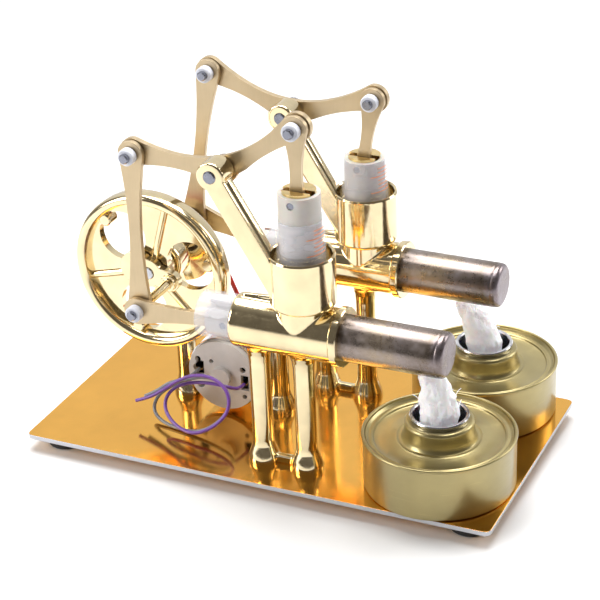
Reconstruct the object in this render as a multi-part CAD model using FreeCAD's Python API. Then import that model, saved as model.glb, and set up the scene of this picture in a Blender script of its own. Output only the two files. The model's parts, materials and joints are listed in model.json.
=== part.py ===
"""Twin walking-beam hot-air engine with a small generator, on a flat base plate.

Millimetres. +Z is up, +X runs along the front edge from the flywheel towards the burners, +Y runs
away from the front edge. The origin is on the surface it stands on, under the middle of the whole
model. The plate's middle is a little in front of it, because the rear burner overhangs the plate.
"""
import FreeCAD, Part
import math
import os

V = FreeCAD.Vector
X_DIR = V(1, 0, 0)
Y_DIR = V(0, 1, 0)
Z_DIR = V(0, 0, 1)

# ---- fits and gaps ------------------------------------------------------------------------------
RUN_FIT = 0.05        # radial clearance of a pin or shaft that turns in its hole
PISTON_FIT = 0.06     # radial clearance of a piston in its glass
SIDE_GAP = 0.3        # gap between flat pieces that slide past each other
OVERLAP = 0.4         # how far fused features reach into each other

# ---- base ---------------------------------------------------------------------------------------
PLATE_LENGTH = 152.0
PLATE_DEPTH = 79.5
PLATE_THICK = 1.5
PLATE_CORNER = 2.0
FOOT_RADIUS = 6.0
FOOT_HEIGHT = 4.0
FOOT_INSET = 9.0
FOOT_EDGE = 0.8            # bevel round the underside of a foot
FOOT_TAPER = 0.4
PLATE_TOP = FOOT_HEIGHT + PLATE_THICK
PLATE_Y = -4.05            # middle of the plate, from the origin

# ---- engine units -------------------------------------------------------------------------------
UNIT_PITCH = 46.4          # front unit's axis to rear unit's axis
FRONT_UNIT_Y = PLATE_Y - 26.0
POWER_X = 14.6             # axis of the upright power cylinder
AXIS_Z = 52.0              # height of the displacer axes and of the crankshaft
GLASS_RADIUS = 7.0
GLASS_WALL = 0.8
POWER_BORE = GLASS_RADIUS - GLASS_WALL
GLASS_FIT = 0.03
HOUSING_LEFT_X = -6.5
COLLAR_END_X = 27.8
COLLAR_WIDTH = 2.6
COLLAR_RADIUS = 8.9
HOUSING_RADIUS = 8.1
UPRIGHT_RADIUS = 9.7       # open cup that holds the upright glass
CUP_BOTTOM_Z = 60.6
CUP_EDGE = 1.4             # rounding of the cup's lower edge
NECK_DROP = 0.4            # neck under the cup is this much slimmer than the level housing
RIM_TOP_Z = 76.8
RIM_WALL = 0.9             # wall of the open cup at the top of the upright housing
CUP_DEPTH = 4.5
POWER_GLASS_TOP_Z = 87.8
POWER_GLASS_SEAT_Z = 62.0
PORT_RADIUS = 3.0
GUIDE_GLASS_LEFT_X = -17.8
CAP_RADIUS = 6.8
CAP_WALL = 0.6
CAP_END_X = 59.0
CAP_SEAT_X = 18.0
CAP_NOSE_FILLET = 1.6
RIB_WIDTH = 1.6

# legs of the castings and of the stand
LEG_RADIUS = 2.6
LEG_FLARE_RADIUS = 4.1
LEG_FLARE_HEIGHT = 7.0
BELL_RADIUS = 4.3
BELL_HEIGHT = 6.5
LEG_X = (-0.5, 13.8)
TIE_HEIGHT = 2.6
TIE_THICK = 2.0
SCREW_RADIUS = 1.5
SCREW_HEAD_RADIUS = 2.8
SCREW_HEAD_HEIGHT = 1.4
SCREW_LENGTH = 7.0

# bracket arm and beam pivot
PIVOT_X = -9.2
PIVOT_Z = 99.2
ARM_FRONT = -7.5           # front face of the arm, from the unit's axis
ARM_THICK = 5.2
ARM_WIDTH = 6.0
ARM_ROOT_X = 11.0
ARM_ROOT_Z = 65.5
ARM_GROOVE = 0.9
EYE_RADIUS = 4.3
PIVOT_PIN_RADIUS = 2.0

# ---- walking beam and links ---------------------------------------------------------------------
BEAM_ARM = 27.0            # level distance from the pivot to each end pin
BEAM_RISE = 8.3            # height of the end pins above the pivot with the beam level
BEAM_EYE = 4.3
BEAM_THICK = 1.8
LINK_THICK = 1.6
LINK_FRONT = -1.8          # front face of the long and power links, from the unit's axis
END_PIN_RADIUS = 1.5
SPACER_RADIUS = 2.5
SPACER_LENGTH = 2.6
PIN_END_LENGTH = 1.2
LONG_LINK_WAIST = 3.9
LONG_LINK_TOP = 4.0
LONG_LINK_FOOT = 4.3
POWER_LINK_LENGTH = 21.0
POWER_LINK_WAIST = 3.7
POWER_LINK_TOP = 3.9
POWER_LINK_FOOT = 2.7
DISP_LINK_LENGTH = 29.9
DISP_LINK_WIDTH = 4.6
DISP_LINK_EYE = 4.2
DISP_LINK_FOOT = 2.6
BEAM_TILT = (15.6, -2.6)   # degrees, right end up, front and rear unit as they rest

# ---- pistons and displacer ----------------------------------------------------------------------
PISTON_TOP_RISE = 2.0      # top of the power piston above its wrist pin
PISTON_SKIRT = 16.0        # bottom of the power piston below its wrist pin
INSERT_RADIUS = POWER_BORE - 1.3
INSERT_RISE = 2.8
INSERT_DEPTH = 7.0
WRIST_RADIUS = 1.1
SLOT_WIDTH = LINK_THICK + 2 * SIDE_GAP
GUIDE_HEAD = 5.8           # end of the guide piston beyond its wrist pin, towards the crank
GUIDE_SKIRT = 12.0
ROD_RADIUS = 1.0
DISPLACER_RADIUS = POWER_BORE - 0.8
DISPLACER_LENGTH = 20.0
DISPLACER_GAP = 1.4        # end of the displacer to the inside of the hot cap at its far end

# ---- crankshaft, flywheel and stand -------------------------------------------------------------
SHAFT_X = -46.0
SHAFT_RADIUS = 2.0
SHAFT_FRONT_Y = PLATE_Y - 9.4
SHAFT_REAR_Y = PLATE_Y + 18.2
CRANK_THROW = 7.6
CRANK_ANGLE = (-14.0, 76.0)   # degrees above +X, front and rear crank pins at rest
SEAT_GAP = 0.5             # guide piston at the end of its stroke to the end of the glass
GUIDE_GLASS_SEAT_X = SHAFT_X + CRANK_THROW + DISP_LINK_LENGTH + GUIDE_SKIRT + SEAT_GAP
WEB_THICK = 2.6
WEB_RADIUS = 4.6
WEB_PIN_RADIUS = 3.2
CRANK_PIN_RADIUS = 1.5
WHEEL_RADIUS = 25.8
WHEEL_THICK = 7.3
WHEEL_FRONT_Y = PLATE_Y - 9.0
WHEEL_RIM = 3.8
WHEEL_RECESS = 2.9
WHEEL_RECESS_BACK = 1.6
WHEEL_HOLE_RADIUS = 8.0
WHEEL_HOLE_CENTRE = 13.8
WHEEL_HOLE_ANGLES = (14.0, 134.0, 254.0)
WHEEL_HUB_RADIUS = 5.6
SPOKE_RIDGE = 2.2
HUB_GAP = 0.4              # wheel hub to the stand's bearing boss
LUG_RADIUS = 2.0
STAND_Y = PLATE_Y + 2.7
STAND_LEG_X = (-40.8, -8.6)
STAND_BAR_Z = 36.0
STAND_BAR_RADIUS = 3.4
BEARING_BOSS_RADIUS = 7.0
BEARING_BOSS_LENGTH = 7.0
BEARING_RADIUS = 5.0
BEARING_WIDTH = 2.5
PULLEY_RADIUS = 11.0
PULLEY_WIDTH = 3.0
BELT_Y = PLATE_Y + 13.2
BELT_RADIUS = 0.7
GROOVE_FLANK = 0.9

# ---- generator ----------------------------------------------------------------------------------
MOTOR_X = -24.0
MOTOR_Z = 18.8
MOTOR_RADIUS = 12.2
MOTOR_FRONT_Y = PLATE_Y - 6.0
MOTOR_LENGTH = 12.4
MOTOR_CAP_THICK = 1.6
MOTOR_BOSS_RADIUS = 3.2
MOTOR_BOSS_RISE = 1.8
MOTOR_SHAFT_RADIUS = 1.0
MOTOR_PULLEY_RADIUS = 3.6
BRACKET_THICK = 1.2
TERMINAL_X = 7.7
TERMINAL_Z = -1.3

# ---- burners ------------------------------------------------------------------------------------
BURNER_PLACES = ((53.2, PLATE_Y - 18.8), (50.6, PLATE_Y + 26.9))
CAN_RADIUS = 22.5
CAN_HEIGHT = 17.2
CAN_WALL = 0.5
CAN_RIM = 0.9
LID_DROP = 2.0
LID_STEP_RADIUS = 19.0
NECK_FOOT_RADIUS = 11.2
NECK_RADIUS = 9.8
NECK_RISE = 5.0
HOLDER_RADIUS = 8.3
HOLDER_WALL = 0.6
HOLDER_RISE = 7.9          # top of the wick holder above the lid
FLAME_GAP = 3.0            # top of the wick to the underside of the hot cap
WICK_RISE = AXIS_Z - CAP_RADIUS - FLAME_GAP - (PLATE_TOP + CAN_HEIGHT - LID_DROP + HOLDER_RISE)
WICK_LEAN = (-2.4, -6.3)   # sideways lean of the wick's top, front and rear burner
WICK_RADIUS = 6.2

# ---- wires --------------------------------------------------------------------------------------
WIRE_RADIUS = 0.55

UNITS = ("front", "rear")


def unit_y(index):
    """Y of a unit's axis, 0 for the front unit and 1 for the rear one."""
    return FRONT_UNIT_Y + index * UNIT_PITCH


# ---- small helpers ------------------------------------------------------------------------------
def cyl(radius, length, start, direction):
    return Part.makeCylinder(radius, length, start, direction)


def tube(outer, inner, length, start, direction):
    return cyl(outer, length, start, direction).cut(cyl(inner, length, start, direction))


def box(x0, x1, y0, y1, z0, z1):
    return Part.makeBox(x1 - x0, y1 - y0, z1 - z0, V(x0, y0, z0))


def fuse(shapes):
    """One clean solid from pieces that overlap."""
    body = shapes[0].multiFuse(shapes[1:]) if len(shapes) > 1 else shapes[0]
    return body.removeSplitter()


def save(name, shapes):
    """Write one node, a single solid or a group of separate solids."""
    group = shapes if isinstance(shapes, (list, tuple)) else [shapes]
    solids = [solid for shape in group for solid in shape.Solids]
    for solid in solids:
        if not solid.isValid() or solid.Volume < 0.01:
            raise ValueError("bad solid in " + name)
    result = solids[0] if len(solids) == 1 else Part.makeCompound(solids)
    result.exportStep("parts/%s.step" % name)
    print("%-24s solids %2d  volume %9.1f" % (name, len(solids), sum(s.Volume for s in solids)))


def revolve(profile, base, direction):
    """Solid of revolution of (radius, height) points about an axis that starts at base."""
    points = [V(r, 0, h) for r, h in profile]
    face = Part.Face(Part.makePolygon(points + points[:1]))
    solid = face.revolve(V(0, 0, 0), Z_DIR, 360)
    solid.Placement = FreeCAD.Placement(base, FreeCAD.Rotation(Z_DIR, direction))
    return solid


def polar(x, z, radius, degrees):
    """Point of the XZ plane at an angle above +X."""
    angle = math.radians(degrees)
    return (x + radius * math.cos(angle), z + radius * math.sin(angle))


def strip(a, b, width, y0, y1):
    """Flat bar of the given width from a to b, both (x, z), between two Y planes."""
    run = V(b[0] - a[0], 0, b[1] - a[1])
    length = run.Length
    side = V(-run.z, 0, run.x) * (width / 2 / length)
    start = V(a[0], y0, a[1])
    corners = [start + side, start + run + side, start + run - side, start - side]
    return Part.Face(Part.makePolygon(corners + corners[:1])).extrude(V(0, y1 - y0, 0))


def disc(centre, radius, y0, y1):
    return cyl(radius, y1 - y0, V(centre[0], y0, centre[1]), Y_DIR)


def waisted_bar(a, b, r_a, r_b, waist, y0, y1):
    """Flat link from eye a to eye b whose sides are arcs that narrow to the waist."""
    ax, az = a
    bx, bz = b
    length = math.hypot(bx - ax, bz - az)
    ux, uz = (bx - ax) / length, (bz - az) / length

    def at(along, across):
        return V(ax + ux * along - uz * across, y0, az + uz * along + ux * across)

    middle = length * 0.42
    left = Part.Arc(at(0, r_a), at(middle, waist / 2), at(length, r_b))
    right = Part.Arc(at(length, -r_b), at(middle, -waist / 2), at(0, -r_a))
    ends = (Part.LineSegment(at(length, r_b), at(length, -r_b)),
            Part.LineSegment(at(0, -r_a), at(0, r_a)))
    edges = [left.toShape(), ends[0].toShape(), right.toShape(), ends[1].toShape()]
    body = Part.Face(Part.Wire(edges)).extrude(V(0, y1 - y0, 0))
    return fuse([body, disc(a, r_a, y0, y1), disc(b, r_b, y0, y1)])


# ---- base ---------------------------------------------------------------------------------------
def leg_places():
    places = [(x, unit_y(index)) for index in range(len(UNITS)) for x in LEG_X]
    return places + [(x, STAND_Y) for x in STAND_LEG_X]


def make_base():
    plate = box(-PLATE_LENGTH / 2, PLATE_LENGTH / 2, PLATE_Y - PLATE_DEPTH / 2, PLATE_Y + PLATE_DEPTH / 2,
                FOOT_HEIGHT, PLATE_TOP)
    corners = [e for e in plate.Edges if abs(e.tangentAt(e.FirstParameter).z) > 0.9]
    plate = plate.makeFillet(PLATE_CORNER, corners)
    for x, y in leg_places():
        plate = plate.cut(cyl(SCREW_RADIUS + RUN_FIT, PLATE_THICK, V(x, y, FOOT_HEIGHT), Z_DIR))
    save("base_plate", plate)


def make_feet():
    profile = [(0, 0), (FOOT_RADIUS - FOOT_EDGE, 0), (FOOT_RADIUS, FOOT_EDGE),
               (FOOT_RADIUS - FOOT_TAPER, FOOT_HEIGHT), (0, FOOT_HEIGHT)]
    places = [(sx * (PLATE_LENGTH / 2 - FOOT_INSET), PLATE_Y + sy * (PLATE_DEPTH / 2 - FOOT_INSET))
              for sx in (-1, 1) for sy in (-1, 1)]
    save("rubber_feet", [revolve(profile, V(x, y, 0), Z_DIR) for x, y in places])


def make_leg_screws():
    screws = []
    for x, y in leg_places():
        head = cyl(SCREW_HEAD_RADIUS, SCREW_HEAD_HEIGHT, V(x, y, FOOT_HEIGHT - SCREW_HEAD_HEIGHT), Z_DIR)
        shank = cyl(SCREW_RADIUS, PLATE_THICK + SCREW_LENGTH, V(x, y, FOOT_HEIGHT - OVERLAP), Z_DIR)
        screws.append(fuse([head, shank]))
    save("leg_screws", screws)


# ---- castings -----------------------------------------------------------------------------------
def leg(x, y, top_z, flare):
    """Round leg with a bell foot, and a flared head where it meets a housing."""
    height = top_z - PLATE_TOP
    half = LEG_RADIUS
    profile = [(0, 0), (BELL_RADIUS, 0), (BELL_RADIUS, 0.9), (BELL_RADIUS - 0.25, 2.2),
               (BELL_RADIUS - 0.9, 3.9), (half + 0.25, 5.4), (half, BELL_HEIGHT),
               (half, height - flare), (half + 0.4, height - flare * 0.55),
               (LEG_FLARE_RADIUS, height), (0, height)]
    return revolve(profile, V(x, y, PLATE_TOP), Z_DIR)


def leg_hole(x, y):
    return cyl(SCREW_RADIUS, SCREW_LENGTH, V(x, y, PLATE_TOP), Z_DIR)


def housing_outer(y):
    """Outside of the two housings, with the collar and the raised rim."""
    body = cyl(HOUSING_RADIUS, COLLAR_END_X - HOUSING_LEFT_X, V(HOUSING_LEFT_X, y, AXIS_Z), X_DIR)
    collar = cyl(COLLAR_RADIUS, COLLAR_WIDTH, V(COLLAR_END_X - COLLAR_WIDTH, y, AXIS_Z), X_DIR)
    height = RIM_TOP_Z - CUP_BOTTOM_Z
    r = UPRIGHT_RADIUS
    cup = revolve([(0, 0), (r - CUP_EDGE, 0), (r - 0.3 * CUP_EDGE, 0.3 * CUP_EDGE), (r, CUP_EDGE),
                   (r, height), (0, height)], V(POWER_X, y, CUP_BOTTOM_Z), Z_DIR)
    neck = cyl(HOUSING_RADIUS - NECK_DROP, CUP_BOTTOM_Z + OVERLAP - AXIS_Z, V(POWER_X, y, AXIS_Z), Z_DIR)
    rib = box(HOUSING_LEFT_X + 1.0, POWER_X, y - RIB_WIDTH / 2, y + RIB_WIDTH / 2,
              AXIS_Z, AXIS_Z + HOUSING_RADIUS + 1.4)
    return [body, collar, neck, cup, rib]


def bracket_arm(y):
    """Slanted arm from the upright housing to the pivot eye, grooved along its upper side."""
    front = y + ARM_FRONT
    back = front + ARM_THICK
    eye = (PIVOT_X, PIVOT_Z)
    root = (ARM_ROOT_X, ARM_ROOT_Z)
    plate_a = strip(root, eye, ARM_WIDTH, front, front + 1.7)
    core = strip(root, eye, ARM_WIDTH - 2 * ARM_GROOVE, front, back)
    plate_b = strip(root, eye, ARM_WIDTH, front + 1.7 + ARM_GROOVE, back)
    barrel = disc(eye, EYE_RADIUS, front, y + LINK_FRONT + LINK_THICK)
    return [plate_a, core, plate_b, barrel]


def make_casting(index):
    y = unit_y(index)
    solids = housing_outer(y) + bracket_arm(y)
    solids += [leg(x, y, AXIS_Z - HOUSING_RADIUS + 1.6, LEG_FLARE_HEIGHT) for x in LEG_X]
    solids.append(box(LEG_X[0], LEG_X[1], y - TIE_THICK / 2, y + TIE_THICK / 2,
                      PLATE_TOP, PLATE_TOP + TIE_HEIGHT))
    body = fuse(solids)
    seat = GLASS_RADIUS + GLASS_FIT
    bore = DISPLACER_RADIUS + 0.7
    cuts = [cyl(seat, RIM_TOP_Z, V(POWER_X, y, POWER_GLASS_SEAT_Z), Z_DIR),
            cyl(UPRIGHT_RADIUS - RIM_WALL, CUP_DEPTH + 1, V(POWER_X, y, RIM_TOP_Z - CUP_DEPTH), Z_DIR),
            cyl(PORT_RADIUS, RIM_TOP_Z - AXIS_Z - 2, V(POWER_X, y, AXIS_Z), Z_DIR),
            cyl(bore, COLLAR_END_X - HOUSING_LEFT_X, V(HOUSING_LEFT_X, y, AXIS_Z), X_DIR),
            cyl(seat, GUIDE_GLASS_SEAT_X - HOUSING_LEFT_X, V(HOUSING_LEFT_X, y, AXIS_Z), X_DIR),
            cyl(CAP_RADIUS + GLASS_FIT, COLLAR_END_X - CAP_SEAT_X, V(CAP_SEAT_X, y, AXIS_Z), X_DIR),
            disc((PIVOT_X, PIVOT_Z), PIVOT_PIN_RADIUS, y + ARM_FRONT - 1, y + ARM_FRONT + ARM_THICK + 5)]
    cuts += [leg_hole(x, y) for x in LEG_X]
    for cut in cuts:
        body = body.cut(cut)
    save("casting_" + UNITS[index], body)


def make_cylinder_tubes(index):
    y = unit_y(index)
    name = UNITS[index]
    power = tube(GLASS_RADIUS, POWER_BORE, POWER_GLASS_TOP_Z - POWER_GLASS_SEAT_Z,
                 V(POWER_X, y, POWER_GLASS_SEAT_Z), Z_DIR)
    save("power_glass_" + name, power)
    guide = tube(GLASS_RADIUS, POWER_BORE, GUIDE_GLASS_SEAT_X - GUIDE_GLASS_LEFT_X,
                 V(GUIDE_GLASS_LEFT_X, y, AXIS_Z), X_DIR)
    save("guide_glass_" + name, guide)
    length = CAP_END_X - CAP_SEAT_X
    outer = cyl(CAP_RADIUS, length, V(CAP_SEAT_X, y, AXIS_Z), X_DIR)
    nose = [e for e in outer.Edges if abs(e.CenterOfMass.x - CAP_END_X) < 0.01]
    outer = outer.makeFillet(CAP_NOSE_FILLET, nose)
    inner = cyl(CAP_RADIUS - CAP_WALL, length - CAP_WALL, V(CAP_SEAT_X, y, AXIS_Z), X_DIR)
    save("hot_cap_" + name, outer.cut(inner))


# ---- beam and links -----------------------------------------------------------------------------
def beam_pin(index, side):
    """Place of a beam end pin as it rests: side -1 is the crank end, +1 the piston end."""
    tilt = math.radians(BEAM_TILT[index])
    level_x = side * BEAM_ARM
    return (PIVOT_X + level_x * math.cos(tilt) - BEAM_RISE * math.sin(tilt),
            PIVOT_Z + level_x * math.sin(tilt) + BEAM_RISE * math.cos(tilt))


def crank_pin(index):
    return polar(SHAFT_X, AXIS_Z, CRANK_THROW, CRANK_ANGLE[index])


def power_wrist(index):
    """Wrist pin of the power piston, a link's length under the beam's end pin."""
    x, z = beam_pin(index, 1)
    return (POWER_X, z - math.sqrt(POWER_LINK_LENGTH ** 2 - (x - POWER_X) ** 2))


def guide_wrist(index):
    x, z = crank_pin(index)
    return (x + math.sqrt(DISP_LINK_LENGTH ** 2 - (z - AXIS_Z) ** 2), AXIS_Z)


def link_y(index):
    return unit_y(index) + LINK_FRONT


def crank_link_y(index):
    """Front face of the displacer link: outside the long link, away from the web."""
    step = LINK_THICK + SIDE_GAP
    return link_y(index) - step if index == 0 else link_y(index) + step


def beam_outline(y0):
    """Level beam about the pivot: bowed upper edge, lower edge with a belly at the pivot."""
    eye = BEAM_EYE
    arm = BEAM_ARM
    rise = BEAM_RISE
    top_mid = V(0, y0, 3.3)
    left_top = V(-arm + 1.6, y0, rise + eye - 0.3)
    right_top = V(arm - 1.6, y0, rise + eye - 0.3)
    left_low = V(-arm + 1.0, y0, rise - eye + 0.1)
    right_low = V(arm - 1.0, y0, rise - eye + 0.1)
    left_in = V(-7.5, y0, -1.6)
    right_in = V(7.5, y0, -1.6)
    left_bow = V(-16.5, y0, 1.7)
    right_bow = V(16.5, y0, 1.7)
    edges = [Part.Arc(left_top, top_mid, right_top).toShape(),
             Part.LineSegment(right_top, right_low).toShape(),
             Part.Arc(right_low, right_bow, right_in).toShape(),
             Part.LineSegment(right_in, left_in).toShape(),
             Part.Arc(left_in, left_bow, left_low).toShape(),
             Part.LineSegment(left_low, left_top).toShape()]
    return Part.Face(Part.Wire(edges)).extrude(V(0, BEAM_THICK, 0))


def make_beam(index):
    y0 = link_y(index) + LINK_THICK + SIDE_GAP
    y1 = y0 + BEAM_THICK
    body = fuse([beam_outline(y0),
                 disc((-BEAM_ARM, BEAM_RISE), BEAM_EYE, y0, y1),
                 disc((BEAM_ARM, BEAM_RISE), BEAM_EYE, y0, y1),
                 disc((0, 0), EYE_RADIUS + 0.6, y0, y1)])
    body = body.cut(disc((0, 0), PIVOT_PIN_RADIUS + RUN_FIT, y0 - 1, y1 + 1))
    for side in (-1, 1):
        body = body.cut(disc((side * BEAM_ARM, BEAM_RISE), END_PIN_RADIUS, y0 - 1, y1 + 1))
    body.rotate(V(0, 0, 0), Y_DIR, -BEAM_TILT[index])
    body.translate(V(PIVOT_X, 0, PIVOT_Z))
    save("beam_" + UNITS[index], body)


def make_beam_pins(index):
    """Pivot pin through the arm, and the two end pins with their spacers."""
    y = unit_y(index)
    beam_back = link_y(index) + LINK_THICK + SIDE_GAP + BEAM_THICK
    pivot = (PIVOT_X, PIVOT_Z)
    head = y + ARM_FRONT
    shank = disc(pivot, PIVOT_PIN_RADIUS, head - 0.5, beam_back + SIDE_GAP)
    keeper = disc(pivot, PIVOT_PIN_RADIUS + 1.2, beam_back + SIDE_GAP, beam_back + SIDE_GAP + 1.2)
    save("beam_pivot_pin_" + UNITS[index], fuse([shank, keeper]))
    pins = []
    front = link_y(index)
    for side in (-1, 1):
        place = beam_pin(index, side)
        start = front - SIDE_GAP - SPACER_LENGTH
        shank = disc(place, END_PIN_RADIUS, start - PIN_END_LENGTH, beam_back)
        spacer = disc(place, SPACER_RADIUS, start, front - SIDE_GAP)
        pins.append(fuse([shank, spacer]))
    save("beam_end_pins_" + UNITS[index], pins)


def make_links(index):
    name = UNITS[index]
    front = link_y(index)
    back = front + LINK_THICK
    left = beam_pin(index, -1)
    right = beam_pin(index, 1)
    hole = END_PIN_RADIUS + RUN_FIT
    crank = crank_pin(index)
    long_link = waisted_bar(left, crank, LONG_LINK_TOP, LONG_LINK_FOOT, LONG_LINK_WAIST, front, back)
    long_link = long_link.cut(disc(left, hole, front - 1, back + 1))
    save("long_link_" + name, long_link)
    power_link = waisted_bar(right, power_wrist(index), POWER_LINK_TOP, POWER_LINK_FOOT,
                             POWER_LINK_WAIST, front, back)
    save("power_link_" + name, power_link.cut(disc(right, hole, front - 1, back + 1)))
    near = crank_link_y(index)
    far = near + LINK_THICK
    wrist = guide_wrist(index)
    disp_link = fuse([strip(crank, wrist, DISP_LINK_WIDTH, near, far),
                      disc(crank, DISP_LINK_EYE, near, far), disc(wrist, DISP_LINK_FOOT, near, far)])
    disp_link = disp_link.cut(disc(crank, CRANK_PIN_RADIUS, near - 1, far + 1))
    disp_link = disp_link.cut(disc(wrist, WRIST_RADIUS + RUN_FIT, near - 1, far + 1))
    save("displacer_link_" + name, disp_link)
    outward = -1 if index == 0 else 1
    outer = near if index == 0 else far
    spacer = disc(crank, SPACER_RADIUS, min(outer, outer + outward * SPACER_LENGTH),
                  max(outer, outer + outward * SPACER_LENGTH))
    tip = outer + outward * (SPACER_LENGTH + PIN_END_LENGTH)
    inner = far if index == 0 else near
    shank = disc(crank, CRANK_PIN_RADIUS, min(tip, inner), max(tip, inner))
    save("crank_pin_end_" + name, fuse([spacer, shank]))


# ---- pistons ------------------------------------------------------------------------------------
def make_power_piston(index):
    name = UNITS[index]
    y = unit_y(index)
    x, z = power_wrist(index)
    outer_radius = POWER_BORE - PISTON_FIT
    sleeve = cyl(outer_radius, PISTON_TOP_RISE + PISTON_SKIRT, V(x, y, z - PISTON_SKIRT), Z_DIR)
    sleeve = sleeve.cut(cyl(INSERT_RADIUS, PISTON_TOP_RISE + INSERT_DEPTH, V(x, y, z - INSERT_DEPTH),
                            Z_DIR))
    insert = cyl(INSERT_RADIUS, INSERT_RISE + INSERT_DEPTH, V(x, y, z - INSERT_DEPTH), Z_DIR)
    link_middle = link_y(index) + LINK_THICK / 2
    slot = box(x - 2 * INSERT_RADIUS, x + 2 * INSERT_RADIUS, link_middle - SLOT_WIDTH / 2,
               link_middle + SLOT_WIDTH / 2, z - POWER_LINK_FOOT - 1.2, z + INSERT_RISE + 1)
    insert = insert.cut(slot)
    pin_hole = cyl(WRIST_RADIUS, 4 * INSERT_RADIUS, V(x, y - 2 * INSERT_RADIUS, z), Y_DIR)
    save("power_piston_" + name, sleeve.cut(pin_hole))
    save("piston_insert_" + name, insert.cut(pin_hole))
    reach = math.sqrt(outer_radius ** 2 - WRIST_RADIUS ** 2) - 0.2
    ends = ((y - reach, link_middle - SLOT_WIDTH / 2), (link_middle + SLOT_WIDTH / 2, y + reach))
    save("power_wrist_pin_" + name, [disc((x, z), WRIST_RADIUS, a, b) for a, b in ends])


def make_displacer(index):
    name = UNITS[index]
    y = unit_y(index)
    x, z = guide_wrist(index)
    radius = POWER_BORE - PISTON_FIT
    piston = cyl(radius, GUIDE_HEAD + GUIDE_SKIRT, V(x - GUIDE_HEAD, y, z), X_DIR)
    middle = crank_link_y(index) + LINK_THICK / 2
    slot = box(x - GUIDE_HEAD - 1, x + DISP_LINK_FOOT + 0.8, middle - SLOT_WIDTH / 2,
               middle + SLOT_WIDTH / 2, z - 2 * radius, z + 2 * radius)
    reach = math.sqrt(radius ** 2 - WRIST_RADIUS ** 2) - 0.1
    pin = disc((x, z), WRIST_RADIUS, y - reach, y + reach)
    rod_start = x + GUIDE_SKIRT
    piston = piston.cut(slot).cut(disc((x, z), WRIST_RADIUS, y - 2 * radius, y + 2 * radius))
    piston = piston.cut(cyl(ROD_RADIUS, 4, V(rod_start - 4, y, z), X_DIR))
    save("guide_piston_" + name, piston)
    save("guide_wrist_pin_" + name, pin)
    far_end = SHAFT_X + CRANK_THROW + DISP_LINK_LENGTH
    displacer_end = CAP_END_X - CAP_WALL - DISPLACER_GAP - (far_end - x)
    start = displacer_end - DISPLACER_LENGTH
    body = cyl(DISPLACER_RADIUS, DISPLACER_LENGTH, V(start, y, z), X_DIR)
    rod = cyl(ROD_RADIUS, start - rod_start + 4 + OVERLAP, V(rod_start - 4, y, z), X_DIR)
    save("displacer_" + name, fuse([body, rod]))


# ---- crankshaft group ---------------------------------------------------------------------------
def make_crankshaft():
    shaft = disc((SHAFT_X, AXIS_Z), SHAFT_RADIUS, SHAFT_FRONT_Y, SHAFT_REAR_Y)
    save("crankshaft", shaft)


def web_planes(index):
    if index == 0:
        return WHEEL_FRONT_Y, WHEEL_FRONT_Y + WEB_THICK
    return SHAFT_REAR_Y - WEB_THICK, SHAFT_REAR_Y


def make_crank_webs():
    """Drop-shaped webs with a counterweight lobe, each with its own stretch of crank pin."""
    webs = []
    for index in range(len(UNITS)):
        y0, y1 = web_planes(index)
        pin = crank_pin(index)
        centre = (SHAFT_X, AXIS_Z)
        lobe = polar(SHAFT_X, AXIS_Z, 4.2, CRANK_ANGLE[index] + 180)
        web = fuse([disc(centre, WEB_RADIUS, y0, y1), disc(pin, WEB_PIN_RADIUS, y0, y1),
                    strip(centre, pin, 2 * WEB_PIN_RADIUS, y0, y1),
                    strip(centre, lobe, 2 * WEB_RADIUS, y0, y1), disc(lobe, WEB_RADIUS + 0.8, y0, y1)])
        web = web.cut(disc(centre, SHAFT_RADIUS, y0 - 1, y1 + 1))
        if index == 0:
            rod = disc(pin, CRANK_PIN_RADIUS, link_y(index) + LINK_THICK + SIDE_GAP, y1)
            nut = disc(pin, CRANK_PIN_RADIUS + 1.0, y0 - 1.6, y0 + OVERLAP)
            web = fuse([web, rod, nut])
        webs.append(web)
    save("crank_webs", webs)


def make_flywheel():
    centre = (SHAFT_X, AXIS_Z)
    front = WHEEL_FRONT_Y
    back = front + WHEEL_THICK
    inner = WHEEL_RADIUS - WHEEL_RIM
    body = disc(centre, WHEEL_RADIUS, front, back)
    body = body.cut(disc(centre, inner, front, front + WHEEL_RECESS))
    body = body.cut(disc(centre, inner, back - WHEEL_RECESS_BACK, back))
    hub_front = front + WEB_THICK + SIDE_GAP * 0.5
    hub_back = STAND_Y - BEARING_BOSS_LENGTH / 2 - HUB_GAP
    solids = [body, disc(centre, WHEEL_HUB_RADIUS, hub_front, hub_back)]
    for angle in WHEEL_HOLE_ANGLES:
        end = polar(SHAFT_X, AXIS_Z, inner + OVERLAP, angle + 60)
        solids.append(strip(centre, end, SPOKE_RIDGE, hub_front, back))
    body = fuse(solids)
    for angle in WHEEL_HOLE_ANGLES:
        hole = polar(SHAFT_X, AXIS_Z, WHEEL_HOLE_CENTRE, angle)
        body = body.cut(disc(hole, WHEEL_HOLE_RADIUS, front - 1, back + 1))
    lugs = [disc(polar(SHAFT_X, AXIS_Z, inner - LUG_RADIUS + 0.8, angle), LUG_RADIUS,
                 front + 1.2, back - 1.2) for angle in WHEEL_HOLE_ANGLES]
    body = fuse([body] + lugs)
    body = body.cut(disc(centre, SHAFT_RADIUS, front - 1, back + 4))
    save("flywheel", body)


def grooved_wheel(centre, radius, width, bore):
    """Round-groove pulley about Y, centred on the belt's plane."""
    rim = radius + GROOVE_FLANK
    half = width / 2
    profile = [(bore, -half), (rim, -half), (radius - 0.1, -BELT_RADIUS * 0.6),
               (radius - 0.1, BELT_RADIUS * 0.6), (rim, half), (bore, half)]
    return revolve(profile, V(centre[0], BELT_Y, centre[1]), Y_DIR)


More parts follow.
